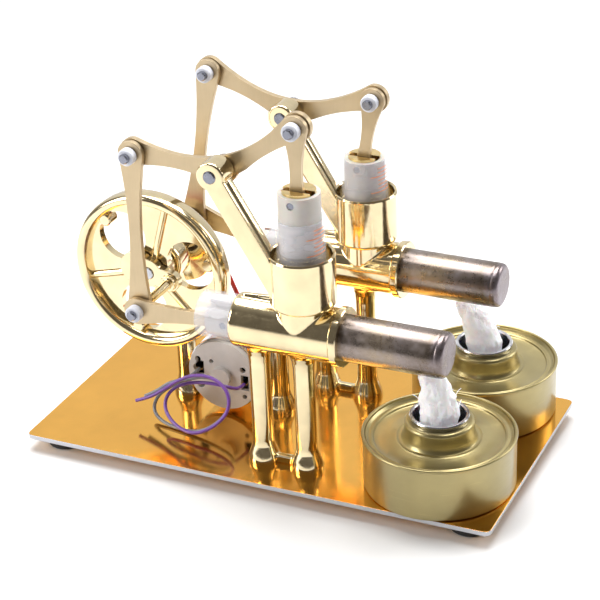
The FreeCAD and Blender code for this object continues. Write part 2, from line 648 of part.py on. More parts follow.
def make_pulleys():
    save("shaft_pulley", grooved_wheel((SHAFT_X, AXIS_Z), PULLEY_RADIUS, PULLEY_WIDTH, SHAFT_RADIUS))
    save("motor_pulley", grooved_wheel((MOTOR_X, MOTOR_Z), MOTOR_PULLEY_RADIUS, PULLEY_WIDTH,
                                       MOTOR_SHAFT_RADIUS))


def belt_path():
    """Open belt round both pulleys: two tangent runs and two arcs, in the belt's plane."""
    big = PULLEY_RADIUS + BELT_RADIUS + 0.12
    small = MOTOR_PULLEY_RADIUS + BELT_RADIUS + 0.12
    dx, dz = MOTOR_X - SHAFT_X, MOTOR_Z - AXIS_Z
    distance = math.hypot(dx, dz)
    heading = math.degrees(math.atan2(dz, dx))
    spread = math.degrees(math.acos((big - small) / distance))

    def at(x, z, radius, angle):
        px, pz = polar(x, z, radius, angle)
        return V(px, BELT_Y, pz)

    a1 = at(SHAFT_X, AXIS_Z, big, heading + spread)
    a2 = at(SHAFT_X, AXIS_Z, big, heading - spread)
    b1 = at(MOTOR_X, MOTOR_Z, small, heading + spread)
    b2 = at(MOTOR_X, MOTOR_Z, small, heading - spread)
    over = at(SHAFT_X, AXIS_Z, big, heading + 180)
    under = at(MOTOR_X, MOTOR_Z, small, heading)
    return Part.Wire([Part.LineSegment(a1, b1).toShape(), Part.Arc(b1, under, b2).toShape(),
                      Part.LineSegment(b2, a2).toShape(), Part.Arc(a2, over, a1).toShape()])


def make_belt():
    path = belt_path()
    start = path.Edges[0].valueAt(path.Edges[0].FirstParameter)
    along = path.Edges[0].tangentAt(path.Edges[0].FirstParameter)
    ring = Part.Wire(Part.makeCircle(BELT_RADIUS, start, along))
    save("drive_belt", path.makePipeShell([ring], True, True))


def make_stand():
    """Two legs, a bar over the generator and a bearing boss carried up from its left end."""
    boss = (SHAFT_X, AXIS_Z)
    y0 = STAND_Y - BEARING_BOSS_LENGTH / 2
    y1 = STAND_Y + BEARING_BOSS_LENGTH / 2
    left, right = STAND_LEG_X
    solids = [leg(x, STAND_Y, STAND_BAR_Z, LEG_FLARE_HEIGHT) for x in STAND_LEG_X]
    solids += [cyl(STAND_BAR_RADIUS, right - left, V(left, STAND_Y, STAND_BAR_Z), X_DIR),
               Part.makeSphere(STAND_BAR_RADIUS, V(left, STAND_Y, STAND_BAR_Z)),
               Part.makeSphere(STAND_BAR_RADIUS, V(right, STAND_Y, STAND_BAR_Z)),
               disc(boss, BEARING_BOSS_RADIUS, y0, y1),
               strip((left - 0.6, STAND_BAR_Z), boss, 6.0, STAND_Y - 2.4, STAND_Y + 2.4)]
    solids += [box(MOTOR_X + sx * 6.0 - 2.0, MOTOR_X + sx * 6.0 + 2.0, STAND_Y, bracket_y()[0],
                   STAND_BAR_Z - 2.0, STAND_BAR_Z + 2.0) for sx in (-1, 1)]
    body = fuse(solids)
    body = body.cut(disc(boss, SHAFT_RADIUS + 1.0, y0 - 1, y1 + 1))
    for start in (y0, y1 - BEARING_WIDTH):
        body = body.cut(disc(boss, BEARING_RADIUS, start, start + BEARING_WIDTH))
    for x in STAND_LEG_X:
        body = body.cut(leg_hole(x, STAND_Y))
    save("bearing_stand", body)
    rings = []
    for start in (y0, y1 - BEARING_WIDTH):
        rings.append(disc(boss, BEARING_RADIUS, start, start + BEARING_WIDTH)
                     .cut(disc(boss, SHAFT_RADIUS + RUN_FIT, start - 1, start + BEARING_WIDTH + 1)))
    save("shaft_bearings", rings)


# ---- generator ----------------------------------------------------------------------------------
def bracket_y():
    start = MOTOR_FRONT_Y + MOTOR_LENGTH
    return start, start + BRACKET_THICK


def make_motor():
    centre = (MOTOR_X, MOTOR_Z)
    back = MOTOR_FRONT_Y + MOTOR_LENGTH
    cap_back = MOTOR_FRONT_Y + MOTOR_CAP_THICK
    can = disc(centre, MOTOR_RADIUS, cap_back, back)
    can = can.cut(disc(centre, MOTOR_RADIUS - 0.8, cap_back, back - 0.8))
    can = can.cut(disc(centre, MOTOR_SHAFT_RADIUS + RUN_FIT, back - 2, back + 1))
    save("motor_can", can)
    boss = disc(centre, MOTOR_BOSS_RADIUS, MOTOR_FRONT_Y - MOTOR_BOSS_RISE, MOTOR_FRONT_Y + OVERLAP)
    cap = fuse([disc(centre, MOTOR_RADIUS - 0.5, MOTOR_FRONT_Y, cap_back), boss])
    cap = cap.cut(disc(centre, MOTOR_SHAFT_RADIUS + RUN_FIT, MOTOR_FRONT_Y - 0.8, cap_back + 1))
    for x, z, radius in ((-8.3, 4.4, 1.0), (-3.6, 4.4, 0.7), (-8.6, 1.2, 1.5), (7.2, 3.2, 1.0),
                         (7.4, -6.2, 0.8), (-7.7, -4.6, 1.2)):
        cap = cap.cut(disc((MOTOR_X + x, MOTOR_Z + z), radius, MOTOR_FRONT_Y - 1, cap_back + 1))
    for side in (-1, 1):
        x = MOTOR_X + side * TERMINAL_X
        z = MOTOR_Z + side * TERMINAL_Z
        cap = cap.cut(box(x - 1.3, x + 1.3, MOTOR_FRONT_Y - 1, cap_back + 1, z - 2.6, z + 2.6))
    save("motor_end_cap", cap)
    terminals = []
    for side in (-1, 1):
        x = MOTOR_X + side * TERMINAL_X
        z = MOTOR_Z + side * TERMINAL_Z
        terminals.append(box(x - 0.9, x + 0.9, MOTOR_FRONT_Y - 0.6, cap_back + 3.0, z - 0.25, z + 0.25))
    save("motor_terminals", terminals)
    shaft_end = BELT_Y + PULLEY_WIDTH / 2
    rotor = fuse([disc(centre, MOTOR_SHAFT_RADIUS, MOTOR_FRONT_Y - 0.4, shaft_end),
                  disc(centre, 6.4, cap_back + 3.6, back - 1.6)])
    save("motor_rotor", rotor)


def make_bracket():
    y0, y1 = bracket_y()
    centre = (MOTOR_X, MOTOR_Z)
    top = STAND_BAR_Z + 3.0
    plate = fuse([box(MOTOR_X - 9.0, MOTOR_X + 9.0, y0, y1, MOTOR_Z, top),
                  disc(centre, 9.0, y0, y1)])
    plate = plate.cut(disc(centre, 3.2, y0 - 1, y1 + 1))
    save("motor_bracket", plate)


# ---- burners ------------------------------------------------------------------------------------
def make_burner(index):
    """Tin can with a rolled rim, its recessed lid and neck, the wick holder and the wick."""
    name = UNITS[index]
    x, y = BURNER_PLACES[index]
    base = V(x, y, PLATE_TOP)
    lid_z = CAN_HEIGHT - LID_DROP
    r = CAN_RADIUS
    shell = [(0, 0), (r - 1.2, 0), (r - 0.4, 0.4), (r, 1.2), (r, CAN_HEIGHT - CAN_RIM),
             (r + 0.3, CAN_HEIGHT - 0.4), (r, CAN_HEIGHT), (r - CAN_WALL - 0.5, CAN_HEIGHT),
             (r - CAN_WALL, CAN_HEIGHT - 0.6), (r - CAN_WALL, 1.2), (r - 1.2, CAN_WALL), (0, CAN_WALL)]
    save("burner_can_" + name, revolve(shell, base, Z_DIR))
    edge = r - CAN_WALL
    lid = [(HOLDER_RADIUS, lid_z + NECK_RISE + 1.6), (NECK_RADIUS - 0.6, lid_z + NECK_RISE + 1.2),
           (NECK_RADIUS, lid_z + NECK_RISE), (NECK_FOOT_RADIUS, lid_z + 0.7),
           (NECK_FOOT_RADIUS + 0.4, lid_z), (LID_STEP_RADIUS, lid_z), (LID_STEP_RADIUS + 0.5, lid_z + 0.6),
           (edge - 1.1, lid_z + 0.6), (edge - 0.5, CAN_HEIGHT - 0.65), (edge, CAN_HEIGHT - 0.65),
           (edge, CAN_HEIGHT - 1.4), (edge - 0.4, lid_z), (LID_STEP_RADIUS, lid_z - 0.6),
           (NECK_FOOT_RADIUS - 0.3, lid_z - 0.6), (NECK_RADIUS - 0.6, lid_z + NECK_RISE - 0.3),
           (HOLDER_RADIUS, lid_z + NECK_RISE + 0.6)]
    save("burner_lid_" + name, revolve(lid, base, Z_DIR))
    top = lid_z + HOLDER_RISE
    h = HOLDER_RADIUS
    holder = [(h - HOLDER_WALL, lid_z - 8.0), (h, lid_z - 8.0), (h, top - 1.2), (h + 0.5, top - 0.8),
              (h + 0.5, top), (h - HOLDER_WALL, top)]
    save("wick_holder_" + name, revolve(holder, base, Z_DIR))
    lean = WICK_LEAN[index]
    rings = []
    for level, width in ((-6.0, 1.0), (0.0, 1.0), (0.45, 1.04), (0.8, 0.94), (1.0, 0.62)):
        share = max(level, 0.0)
        z = PLATE_TOP + top + (level if level < 0 else level * WICK_RISE)
        centre = V(x + lean * share, y, z)
        rings.append(Part.Wire(Part.makeCircle(WICK_RADIUS * width, centre, Z_DIR)))
    save("wick_" + name, Part.makeLoft(rings, True, False))


# ---- wires --------------------------------------------------------------------------------------
PURPLE_ROUTE = [(-16.3, -10.65, 17.5), (-16.3, -14.1, 17.5), (-18.6, -16.9, 19.4), (-24.2, -17.5, 20.1),
                (-30.8, -17.4, 19.0), (-36.0, -18.6, 17.2), (-38.8, -20.6, 13.9), (-37.8, -23.4, 10.5),
                (-32.6, -26.6, 7.9), (-25.4, -28.7, 7.5), (-19.6, -26.6, 9.9), (-15.4, -23.6, 14.6),
                (-16.2, -21.0, 20.0), (-21.2, -19.6, 23.3), (-27.6, -19.6, 23.6), (-33.2, -20.8, 21.4),
                (-38.7, -21.3, 17.0), (-43.6, -22.6, 13.6), (-48.1, -22.9, 11.9)]
GREY_ROUTE = [(-31.7, -10.65, 20.1), (-31.7, -14.1, 20.1), (-34.2, -17.0, 18.6), (-39.4, -16.8, 15.3),
              (-43.4, -18.2, 11.8), (-43.6, -20.8, 8.0), (-38.8, -23.6, 6.3), (-32.0, -25.0, 6.1),
              (-25.6, -25.6, 6.5), (-20.2, -23.9, 9.2), (-16.6, -21.0, 13.6), (-17.0, -18.9, 18.2),
              (-21.6, -17.9, 21.9), (-27.0, -17.6, 21.9), (-32.4, -18.7, 20.2), (-37.4, -19.5, 18.9),
              (-42.0, -20.6, 15.1), (-45.9, -20.9, 12.9)]
WIRE_ARC = 0.45            # share of the shorter run that an arc takes at each end


def wire_path(route):
    """Straight runs joined by tangent arcs, each as large as its two runs allow."""
    points = [V(*p) for p in route]
    edges = []
    radii = []
    cursor = points[0]
    for before, corner, after in zip(points, points[1:], points[2:]):
        into = corner - before
        out = after - corner
        back = WIRE_ARC * min(into.Length, out.Length)
        radius = back / math.tan(into.getAngle(out) / 2)
        radii.append(radius)
        begin = corner - into.normalize() * back
        end = corner + out.normalize() * back
        inward = ((begin + end) * 0.5 - corner).normalize()
        middle = corner + inward * (math.hypot(radius, back) - radius)
        edges.append(Part.LineSegment(cursor, begin).toShape())
        edges.append(Part.Arc(begin, middle, end).toShape())
        cursor = end
    edges.append(Part.LineSegment(cursor, points[-1]).toShape())
    return Part.Wire(edges), radii


def make_wire(name, route):
    path, radii = wire_path(route)
    first = path.Edges[0]
    ring = Part.Wire(Part.makeCircle(WIRE_RADIUS, first.valueAt(first.FirstParameter),
                                     first.tangentAt(first.FirstParameter)))
    body = path.makePipeShell([ring], True, True)
    area = math.pi * WIRE_RADIUS ** 2
    print(name, "length %.1f" % path.Length, "volume ratio %.4f" % (body.Volume / (area * path.Length)),
          "radii", ["%.1f" % r for r in radii])
    save(name, body)


def main():
    os.makedirs("parts", exist_ok=True)
    make_base()
    make_feet()
    make_leg_screws()
    for index in range(len(UNITS)):
        make_casting(index)
        make_cylinder_tubes(index)
        make_beam(index)
        make_beam_pins(index)
        make_links(index)
        make_power_piston(index)
        make_displacer(index)
        make_burner(index)
    make_crankshaft()
    make_crank_webs()
    make_flywheel()
    make_pulleys()
    make_belt()
    make_stand()
    make_motor()
    make_bracket()
    make_wire("wire_purple", PURPLE_ROUTE)
    make_wire("wire_grey", GREY_ROUTE)


main()
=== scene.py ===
"""Looks of a desktop walking-beam hot-air engine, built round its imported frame."""

import json
import math

import bmesh
import bpy
from bpy.props import FloatProperty, FloatVectorProperty, IntProperty, PointerProperty
from mathutils import Matrix, Vector


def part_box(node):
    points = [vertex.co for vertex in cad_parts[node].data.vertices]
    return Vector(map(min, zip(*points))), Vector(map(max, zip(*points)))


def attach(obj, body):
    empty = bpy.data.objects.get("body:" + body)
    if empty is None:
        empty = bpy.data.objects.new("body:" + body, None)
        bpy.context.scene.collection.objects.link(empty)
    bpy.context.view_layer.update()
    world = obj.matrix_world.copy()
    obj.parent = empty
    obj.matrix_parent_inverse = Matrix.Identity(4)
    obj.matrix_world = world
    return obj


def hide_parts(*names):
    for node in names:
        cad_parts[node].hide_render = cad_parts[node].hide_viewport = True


bl_info = {
    "name": "Walking-beam hot-air engine",
    "version": (1, 0, 0),
    "blender": (4, 5, 0),
    "location": "View3D > Sidebar > Hot-air engine",
    "description": "Builds the visible pieces of a twin hot-air engine round its frame",
    "category": "Add Mesh",
}

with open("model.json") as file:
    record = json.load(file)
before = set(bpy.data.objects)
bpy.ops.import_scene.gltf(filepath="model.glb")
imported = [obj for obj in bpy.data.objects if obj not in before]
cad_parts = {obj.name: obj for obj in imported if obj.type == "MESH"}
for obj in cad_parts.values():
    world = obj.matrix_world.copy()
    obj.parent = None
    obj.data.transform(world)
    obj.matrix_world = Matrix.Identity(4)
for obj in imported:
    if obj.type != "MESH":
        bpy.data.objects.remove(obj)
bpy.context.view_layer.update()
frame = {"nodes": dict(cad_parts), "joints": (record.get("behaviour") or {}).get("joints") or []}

MM = 0.001
UNITS = ("front", "rear")
X_AXIS = Vector((1, 0, 0))
Y_AXIS = Vector((0, 1, 0))
Z_AXIS = Vector((0, 0, 1))
SMOOTH_ANGLE = math.radians(32)
ROUND = 96                 # sides of a large turned piece
PIN_ROUND = 40             # sides of a pin


# ---- places taken from the frame, in millimetres -------------------------------------------------
def corners(node):
    low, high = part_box(node)
    return low / MM, high / MM


def middle(node):
    low, high = corners(node)
    return (low + high) / 2


JOINT_AT = {j["name"]: Vector(j["pos_m"]) / MM for j in frame["joints"] if j.get("pos_m")}
UNIT_Y = {u: middle("guide_glass_" + u).y for u in UNITS}
SHAFT = JOINT_AT["crank_spin"]
MOTOR = JOINT_AT["generator_spin"]
PLATE_LOW, PLATE_HIGH = corners("base_plate")
PLATE_TOP = PLATE_HIGH.z
AXIS_Z = SHAFT.z
POWER_X = middle("power_glass_front").x
PIVOT = JOINT_AT["beam_tilt_front"]


# ---- sizes and colours that a user may change ----------------------------------------------------
def length(name, default, description):
    return FloatProperty(name=name, description=description, default=default, min=0.0)


def colour(name, default, description):
    return FloatVectorProperty(name=name, description=description, default=default, size=3,
                               subtype="COLOR", min=0.0, max=1.0)


class EngineSizes(bpy.types.PropertyGroup):
    edge: length("Edge round", 0.14, "Rounding of a machined edge, in millimetres")
    cast_edge: length("Casting round", 0.3, "Grain of the blending at a casting's corners, in millimetres")
    tick_step: length("Tick step", 1.25, "Distance between the lines on a glass barrel, in millimetres")
    tick_count: IntProperty(name="Ticks", description="Lines on each glass barrel", default=7, min=1)
    wick_strands: IntProperty(name="Wick strands", description="Loose strands on each wick",
                              default=150, min=1)
    wire: length("Wire", 1.1, "Diameter of the insulated wires, in millimetres")


class EngineColours(bpy.types.PropertyGroup):
    plating: colour("Plating", (0.84, 0.70, 0.44), "Polished plating of castings and wheel")
    plate: colour("Plate", (0.94, 0.50, 0.10), "Mirror surface of the base plate")
    links: colour("Links", (0.52, 0.41, 0.26), "Brushed flat links and beams")
    tin: colour("Tin", (0.40, 0.33, 0.15), "Lacquered burner tins")
    belt: colour("Belt", (0.62, 0.03, 0.02), "Drive belt")
    purple: colour("First wire", (0.17, 0.06, 0.36), "Insulation of the first wire")
    grey: colour("Second wire", (0.22, 0.23, 0.26), "Insulation of the second wire")
    ticks: colour("Ticks", (0.85, 0.20, 0.02), "Printed lines on the glass")


# ---- shader building -----------------------------------------------------------------------------
class Value:
    """A number socket; arithmetic on it adds Math nodes to its tree."""

    def __init__(self, shader, socket):
        self.shader = shader
        self.socket = socket

    def math(self, operation, *values):
        sockets = dict(enumerate(values))
        return self.shader.node("ShaderNodeMath", {"operation": operation}, sockets)

    def __add__(self, other):
        return self.math("ADD", self, other)

    def __radd__(self, other):
        return self.math("ADD", other, self)

    def __sub__(self, other):
        return self.math("SUBTRACT", self, other)

    def __rsub__(self, other):
        return self.math("SUBTRACT", other, self)

    def __mul__(self, other):
        return self.math("MULTIPLY", self, other)

    def __rmul__(self, other):
        return self.math("MULTIPLY", other, self)


class Shader:
    """A material under construction: Object coordinates, one way to add nodes, and the surface."""

    def __init__(self, name):
        self.material = bpy.data.materials.new(name)
        self.material.use_nodes = True
        self.tree = self.material.node_tree
        self.surface = self.tree.nodes["Principled BSDF"]
        self.place = self.node("ShaderNodeTexCoord", {}, {}, "Object")

    def node(self, kind, settings, inputs, output=0):
        """Adds a node: settings first, then its sockets' values or links; returns one output."""
        made = self.tree.nodes.new(kind)
        for key, value in settings.items():
            if key == "stops":
                self.set_stops(made.color_ramp, value)
            else:
                setattr(made, key, value)
        for key, value in inputs.items():
            self.connect(made.inputs[key], value)
        return Value(self, made.outputs[output])

    @staticmethod
    def set_stops(ramp, stops):
        while len(ramp.elements) < len(stops):
            ramp.elements.new(0.5)
        for element, (position, shade) in zip(ramp.elements, stops):
            element.position = position
            element.color = (*shade, 1.0)

    def connect(self, socket, value):
        if isinstance(value, Value):
            self.tree.links.new(value.socket, socket)
        elif socket.type == "RGBA" and len(value) == 3:
            socket.default_value = (*value, 1.0)
        else:
            socket.default_value = value

    def set(self, **inputs):
        for key, value in inputs.items():
            self.connect(self.surface.inputs[key.replace("_", " ").title().replace("Ior", "IOR")], value)

    def scaled(self, x=1.0, y=1.0, z=1.0):
        return self.node("ShaderNodeMapping", {}, {"Vector": self.place, "Scale": (x, y, z)})

    def axis(self, name):
        return self.node("ShaderNodeSeparateXYZ", {}, {0: self.place}, name)

    def noise(self, scale, detail=3.0, rough=0.5, vector=None):
        return self.node("ShaderNodeTexNoise", {}, {"Vector": vector or self.place, "Scale": scale,
                                                    "Detail": detail, "Roughness": rough})

    def span(self, value, low, high, to_low, to_high):
        inputs = {"Value": value, "From Min": low, "From Max": high, "To Min": to_low, "To Max": to_high}
        return self.node("ShaderNodeMapRange", {}, inputs)

    def mix(self, factor, first, second):
        made = self.tree.nodes.new("ShaderNodeMix")
        made.data_type = "RGBA"
        self.connect(made.inputs[0], factor)
        self.connect(made.inputs[6], first)
        self.connect(made.inputs[7], second)
        return Value(self, made.outputs[2])

    def ramp(self, factor, stops):
        return self.node("ShaderNodeValToRGB", {"stops": stops}, {"Fac": factor})

    def bump(self, height, strength, distance):
        inputs = {"Height": height, "Strength": strength, "Distance": distance * MM}
        self.set(normal=self.node("ShaderNodeBump", {}, inputs))


def shade(colour_value, factor):
    return tuple(min(1.0, c * factor) for c in colour_value)


def polished_plating(colours):
    """Bright plating over a casting: soft waves of the cast skin under a mirror finish."""
    s = Shader("polished_plating")
    waves = s.noise(170, 2.0)
    grain = s.noise(900, 3.0)
    base = tuple(colours.plating)
    tone = s.mix(s.span(waves, 0.35, 0.65, 0.0, 1.0), shade(base, 0.93), shade(base, 1.05))
    s.set(base_color=tone, metallic=1.0, roughness=s.span(grain, 0.3, 0.7, 0.07, 0.16))
    s.bump(waves * 0.8 + grain * 0.2, 0.16, 0.12)
    return s.material


def mirror_plate(colours):
    """Gold-coloured mirror sheet with faint hazing and rolling waviness."""
    s = Shader("mirror_plate")
    base = tuple(colours.plate)
    haze = s.noise(60, 4.0, 0.6)
    waves = s.noise(45, 1.0)
    tone = s.mix(s.span(haze, 0.3, 0.7, 0.0, 1.0), shade(base, 0.96), shade(base, 1.06))
    s.set(base_color=tone, metallic=1.0, roughness=s.span(haze, 0.3, 0.75, 0.09, 0.17))
    s.bump(waves, 0.06, 0.12)
    return s.material


def cut_edge():
    """Bare cut edge of the sheet, scored along its length."""
    s = Shader("cut_edge")
    lines = s.noise(60, 3.0, 0.6, s.scaled(1.0, 1.0, 40.0))
    tone = s.mix(lines, (0.42, 0.42, 0.45), (0.60, 0.60, 0.63))
    s.set(base_color=tone, metallic=0.9, roughness=0.34)
    s.bump(lines, 0.3, 0.06)
    return s.material


def brushed_links(colours):
    """Flat stock with a fine brushed grain, upright in the plane of the links."""
    s = Shader("brushed_links")
    base = tuple(colours.links)
    grain = s.noise(420, 3.0, 0.6, s.scaled(2.6, 1.0, 0.12))
    cloud = s.noise(110, 3.0)
    tone = s.mix(s.span(cloud, 0.3, 0.7, 0.0, 1.0), shade(base, 0.92), shade(base, 1.08))
    tone = s.mix(s.span(grain, 0.3, 0.7, 0.0, 0.35), tone, shade(base, 1.2))
    s.set(base_color=tone, metallic=0.92, roughness=s.span(grain, 0.3, 0.7, 0.30, 0.42))
    s.bump(grain, 0.12, 0.03)
    return s.material


def turned_steel(name, base, rough=0.24):
    """Turned bright steel: fine tool marks and a little tarnish."""
    s = Shader(name)
    marks = s.noise(1500, 2.0, 0.6, s.scaled(1.0, 0.2, 1.0))
    cloud = s.noise(260, 3.0)
    tone = s.mix(s.span(cloud, 0.3, 0.7, 0.0, 1.0), shade(base, 0.82), shade(base, 1.1))
    s.set(base_color=tone, metallic=1.0, roughness=s.span(marks, 0.3, 0.7, rough * 0.75, rough * 1.3))
    s.bump(marks, 0.15, 0.02)
    return s.material


def heat_tinted_steel():
    """Drawn steel cap coloured by the flame: violet-brown, straw patches, and rubbed bright areas."""
    s = Shader("heat_tinted_steel")
    along = s.axis("X")
    cloud = s.noise(95, 5.0, 0.62)
    scuff = s.noise(380, 4.0, 0.7)
    heat = s.span(along, 0.026, 0.060, 0.0, 1.0) + (cloud - 0.5) * 0.55
    tint = s.ramp(heat, [(0.0, (0.15, 0.12, 0.10)), (0.22, (0.28, 0.23, 0.20)), (0.42, (0.34, 0.27, 0.20)),
                         (0.6, (0.30, 0.25, 0.23)), (0.82, (0.19, 0.15, 0.12)), (1.0, (0.26, 0.22, 0.24))])
    rubbed = s.span(scuff * cloud, 0.24, 0.42, 0.0, 0.28)
    tint = s.mix(rubbed, tint, (0.46, 0.42, 0.45))
    s.set(base_color=tint, metallic=0.95, roughness=s.span(scuff, 0.3, 0.7, 0.22, 0.38))
    s.bump(scuff, 0.1, 0.04)
    return s.material


def lacquered_tin(colours):
    """Pressed tin under olive-gold lacquer: satin, with draw lines and small scuffs."""
    s = Shader("lacquered_tin")
    base = tuple(colours.tin)
    cloud = s.noise(70, 4.0)
    lines = s.noise(240, 3.0, 0.6, s.scaled(0.5, 0.5, 6.0))
    tone = s.mix(s.span(cloud, 0.3, 0.7, 0.0, 1.0), shade(base, 0.9), shade(base, 1.12))
    tone = s.mix(s.span(lines, 0.62, 0.72, 0.0, 0.25), tone, shade(base, 1.5))
    s.set(base_color=tone, metallic=0.85, roughness=s.span(lines, 0.3, 0.7, 0.28, 0.36), coat_weight=0.25)
    s.bump(lines, 0.06, 0.04)
    return s.material


def moulded(name, base, rough, depth=0.05, coat=0.0):
    """Moulded plastic or rubber with a fine skin and a slight mottle."""
    s = Shader(name)
    skin = s.noise(900, 3.0, 0.6)
    cloud = s.noise(140, 3.0)
    tone = s.mix(s.span(cloud, 0.3, 0.7, 0.0, 1.0), shade(base, 0.9), shade(base, 1.08))
    s.set(base_color=tone, roughness=s.span(skin, 0.3, 0.7, rough * 0.85, rough * 1.15), coat_weight=coat)
    s.bump(skin, 0.25, depth)
    return s.material


def frosted_white():
    """Ground milky glass of the pistons, a little translucent."""
    s = Shader("frosted_white")
    skin = s.noise(1100, 3.0, 0.6, s.scaled(1.0, 1.0, 3.0))
    cloud = s.noise(150, 3.0)
    tone = s.mix(s.span(cloud, 0.3, 0.7, 0.0, 1.0), (0.60, 0.56, 0.51), (0.70, 0.66, 0.61))
    s.set(base_color=tone, roughness=s.span(skin, 0.3, 0.7, 0.34, 0.5))
    s.set(subsurface_weight=0.25, subsurface_scale=0.002)
    s.bump(skin, 0.2, 0.02)
    return s.material


def clear_glass():
    """Clear barrel glass with faint drawing streaks."""
    s = Shader("clear_glass")
    streaks = s.noise(200, 2.0, 0.5, s.scaled(0.3, 1.0, 1.0))
    s.set(base_color=s.mix(streaks, (0.80, 0.81, 0.92), (0.94, 0.94, 0.98)), roughness=0.04)
    s.set(alpha=s.span(streaks, 0.3, 0.75, 0.22, 0.36), specular_ior_level=1.0)
    s.bump(streaks, 0.05, 0.05)
    return s.material


def printed_ticks(colours):
    s = Shader("printed_ticks")
    wear = s.noise(1600, 3.0, 0.6)
    base = tuple(colours.ticks)
    s.set(base_color=s.mix(s.span(wear, 0.4, 0.75, 0.0, 0.25), base, (0.95, 0.66, 0.45)), roughness=0.5)
    return s.material


def cotton():
    """Loose white cotton: soft fibres, slightly creamy where the fuel has reached, with a faint painted glow
    that brightens it.
    """
    s = Shader("cotton")
    fibre = s.noise(900, 5.0, 0.75, s.scaled(2.0, 2.0, 0.25))
    cloud = s.noise(160, 3.0)
    tone = s.mix(s.span(cloud, 0.3, 0.7, 0.0, 1.0), (0.93, 0.92, 0.92), (0.98, 0.98, 0.98))
    # the emission is a painted glow: it brightens the cotton though the wick gives no light
    s.set(base_color=tone, roughness=0.95, emission_color=(0.93, 0.91, 1.0), emission_strength=0.14)
    s.set(subsurface_weight=0.3, subsurface_scale=0.002)
    s.bump(fibre, 0.7, 0.25)
    return s.material


def plain_floor():
    s = Shader("pale_floor")
    cloud = s.noise(3, 2.0)
    s.set(base_color=s.mix(cloud, (0.88, 0.88, 0.885), (0.91, 0.91, 0.91)), roughness=0.6)
    return s.material


FINISHES = {}


def make_finishes(colours):
    """Makes every finish once, under the name that the pieces ask for."""
    FINISHES.update({
        "plating": polished_plating(colours),
        "plate": mirror_plate(colours),
        "cut_edge": cut_edge(),
        "links": brushed_links(colours),
        "steel": turned_steel("turned_steel", (0.55, 0.56, 0.60)),
        "dark_steel": turned_steel("pin_steel", (0.27, 0.28, 0.33), 0.3),
        "bright": turned_steel("bright_steel", (0.74, 0.74, 0.77), 0.2),
        "brass": turned_steel("turned_brass", (0.83, 0.62, 0.28), 0.2),
        "hot": heat_tinted_steel(),
        "tin": lacquered_tin(colours),
        "frosted": frosted_white(),
        "glass": clear_glass(),
        "ticks": printed_ticks(colours),
        "cotton": cotton(),
        "spacer": moulded("nylon_spacer", (0.78, 0.80, 0.88), 0.4),
        "motor_cap": moulded("motor_cap", (0.60, 0.57, 0.55), 0.5),
        # near-black fill for the recess between the bearing races: painted shade inside the bearings
        "dark": moulded("painted_shade_inside", (0.05, 0.045, 0.045), 0.7),
        "rubber": moulded("foot_rubber", (0.025, 0.025, 0.028), 0.6, 0.08),
        "belt": moulded("belt_rubber", tuple(colours.belt), 0.35, 0.04, 0.2),
        "purple": moulded("purple_insulation", tuple(colours.purple), 0.34, 0.03, 0.2),
        "grey": moulded("grey_insulation", tuple(colours.grey), 0.34, 0.03, 0.2),
    })


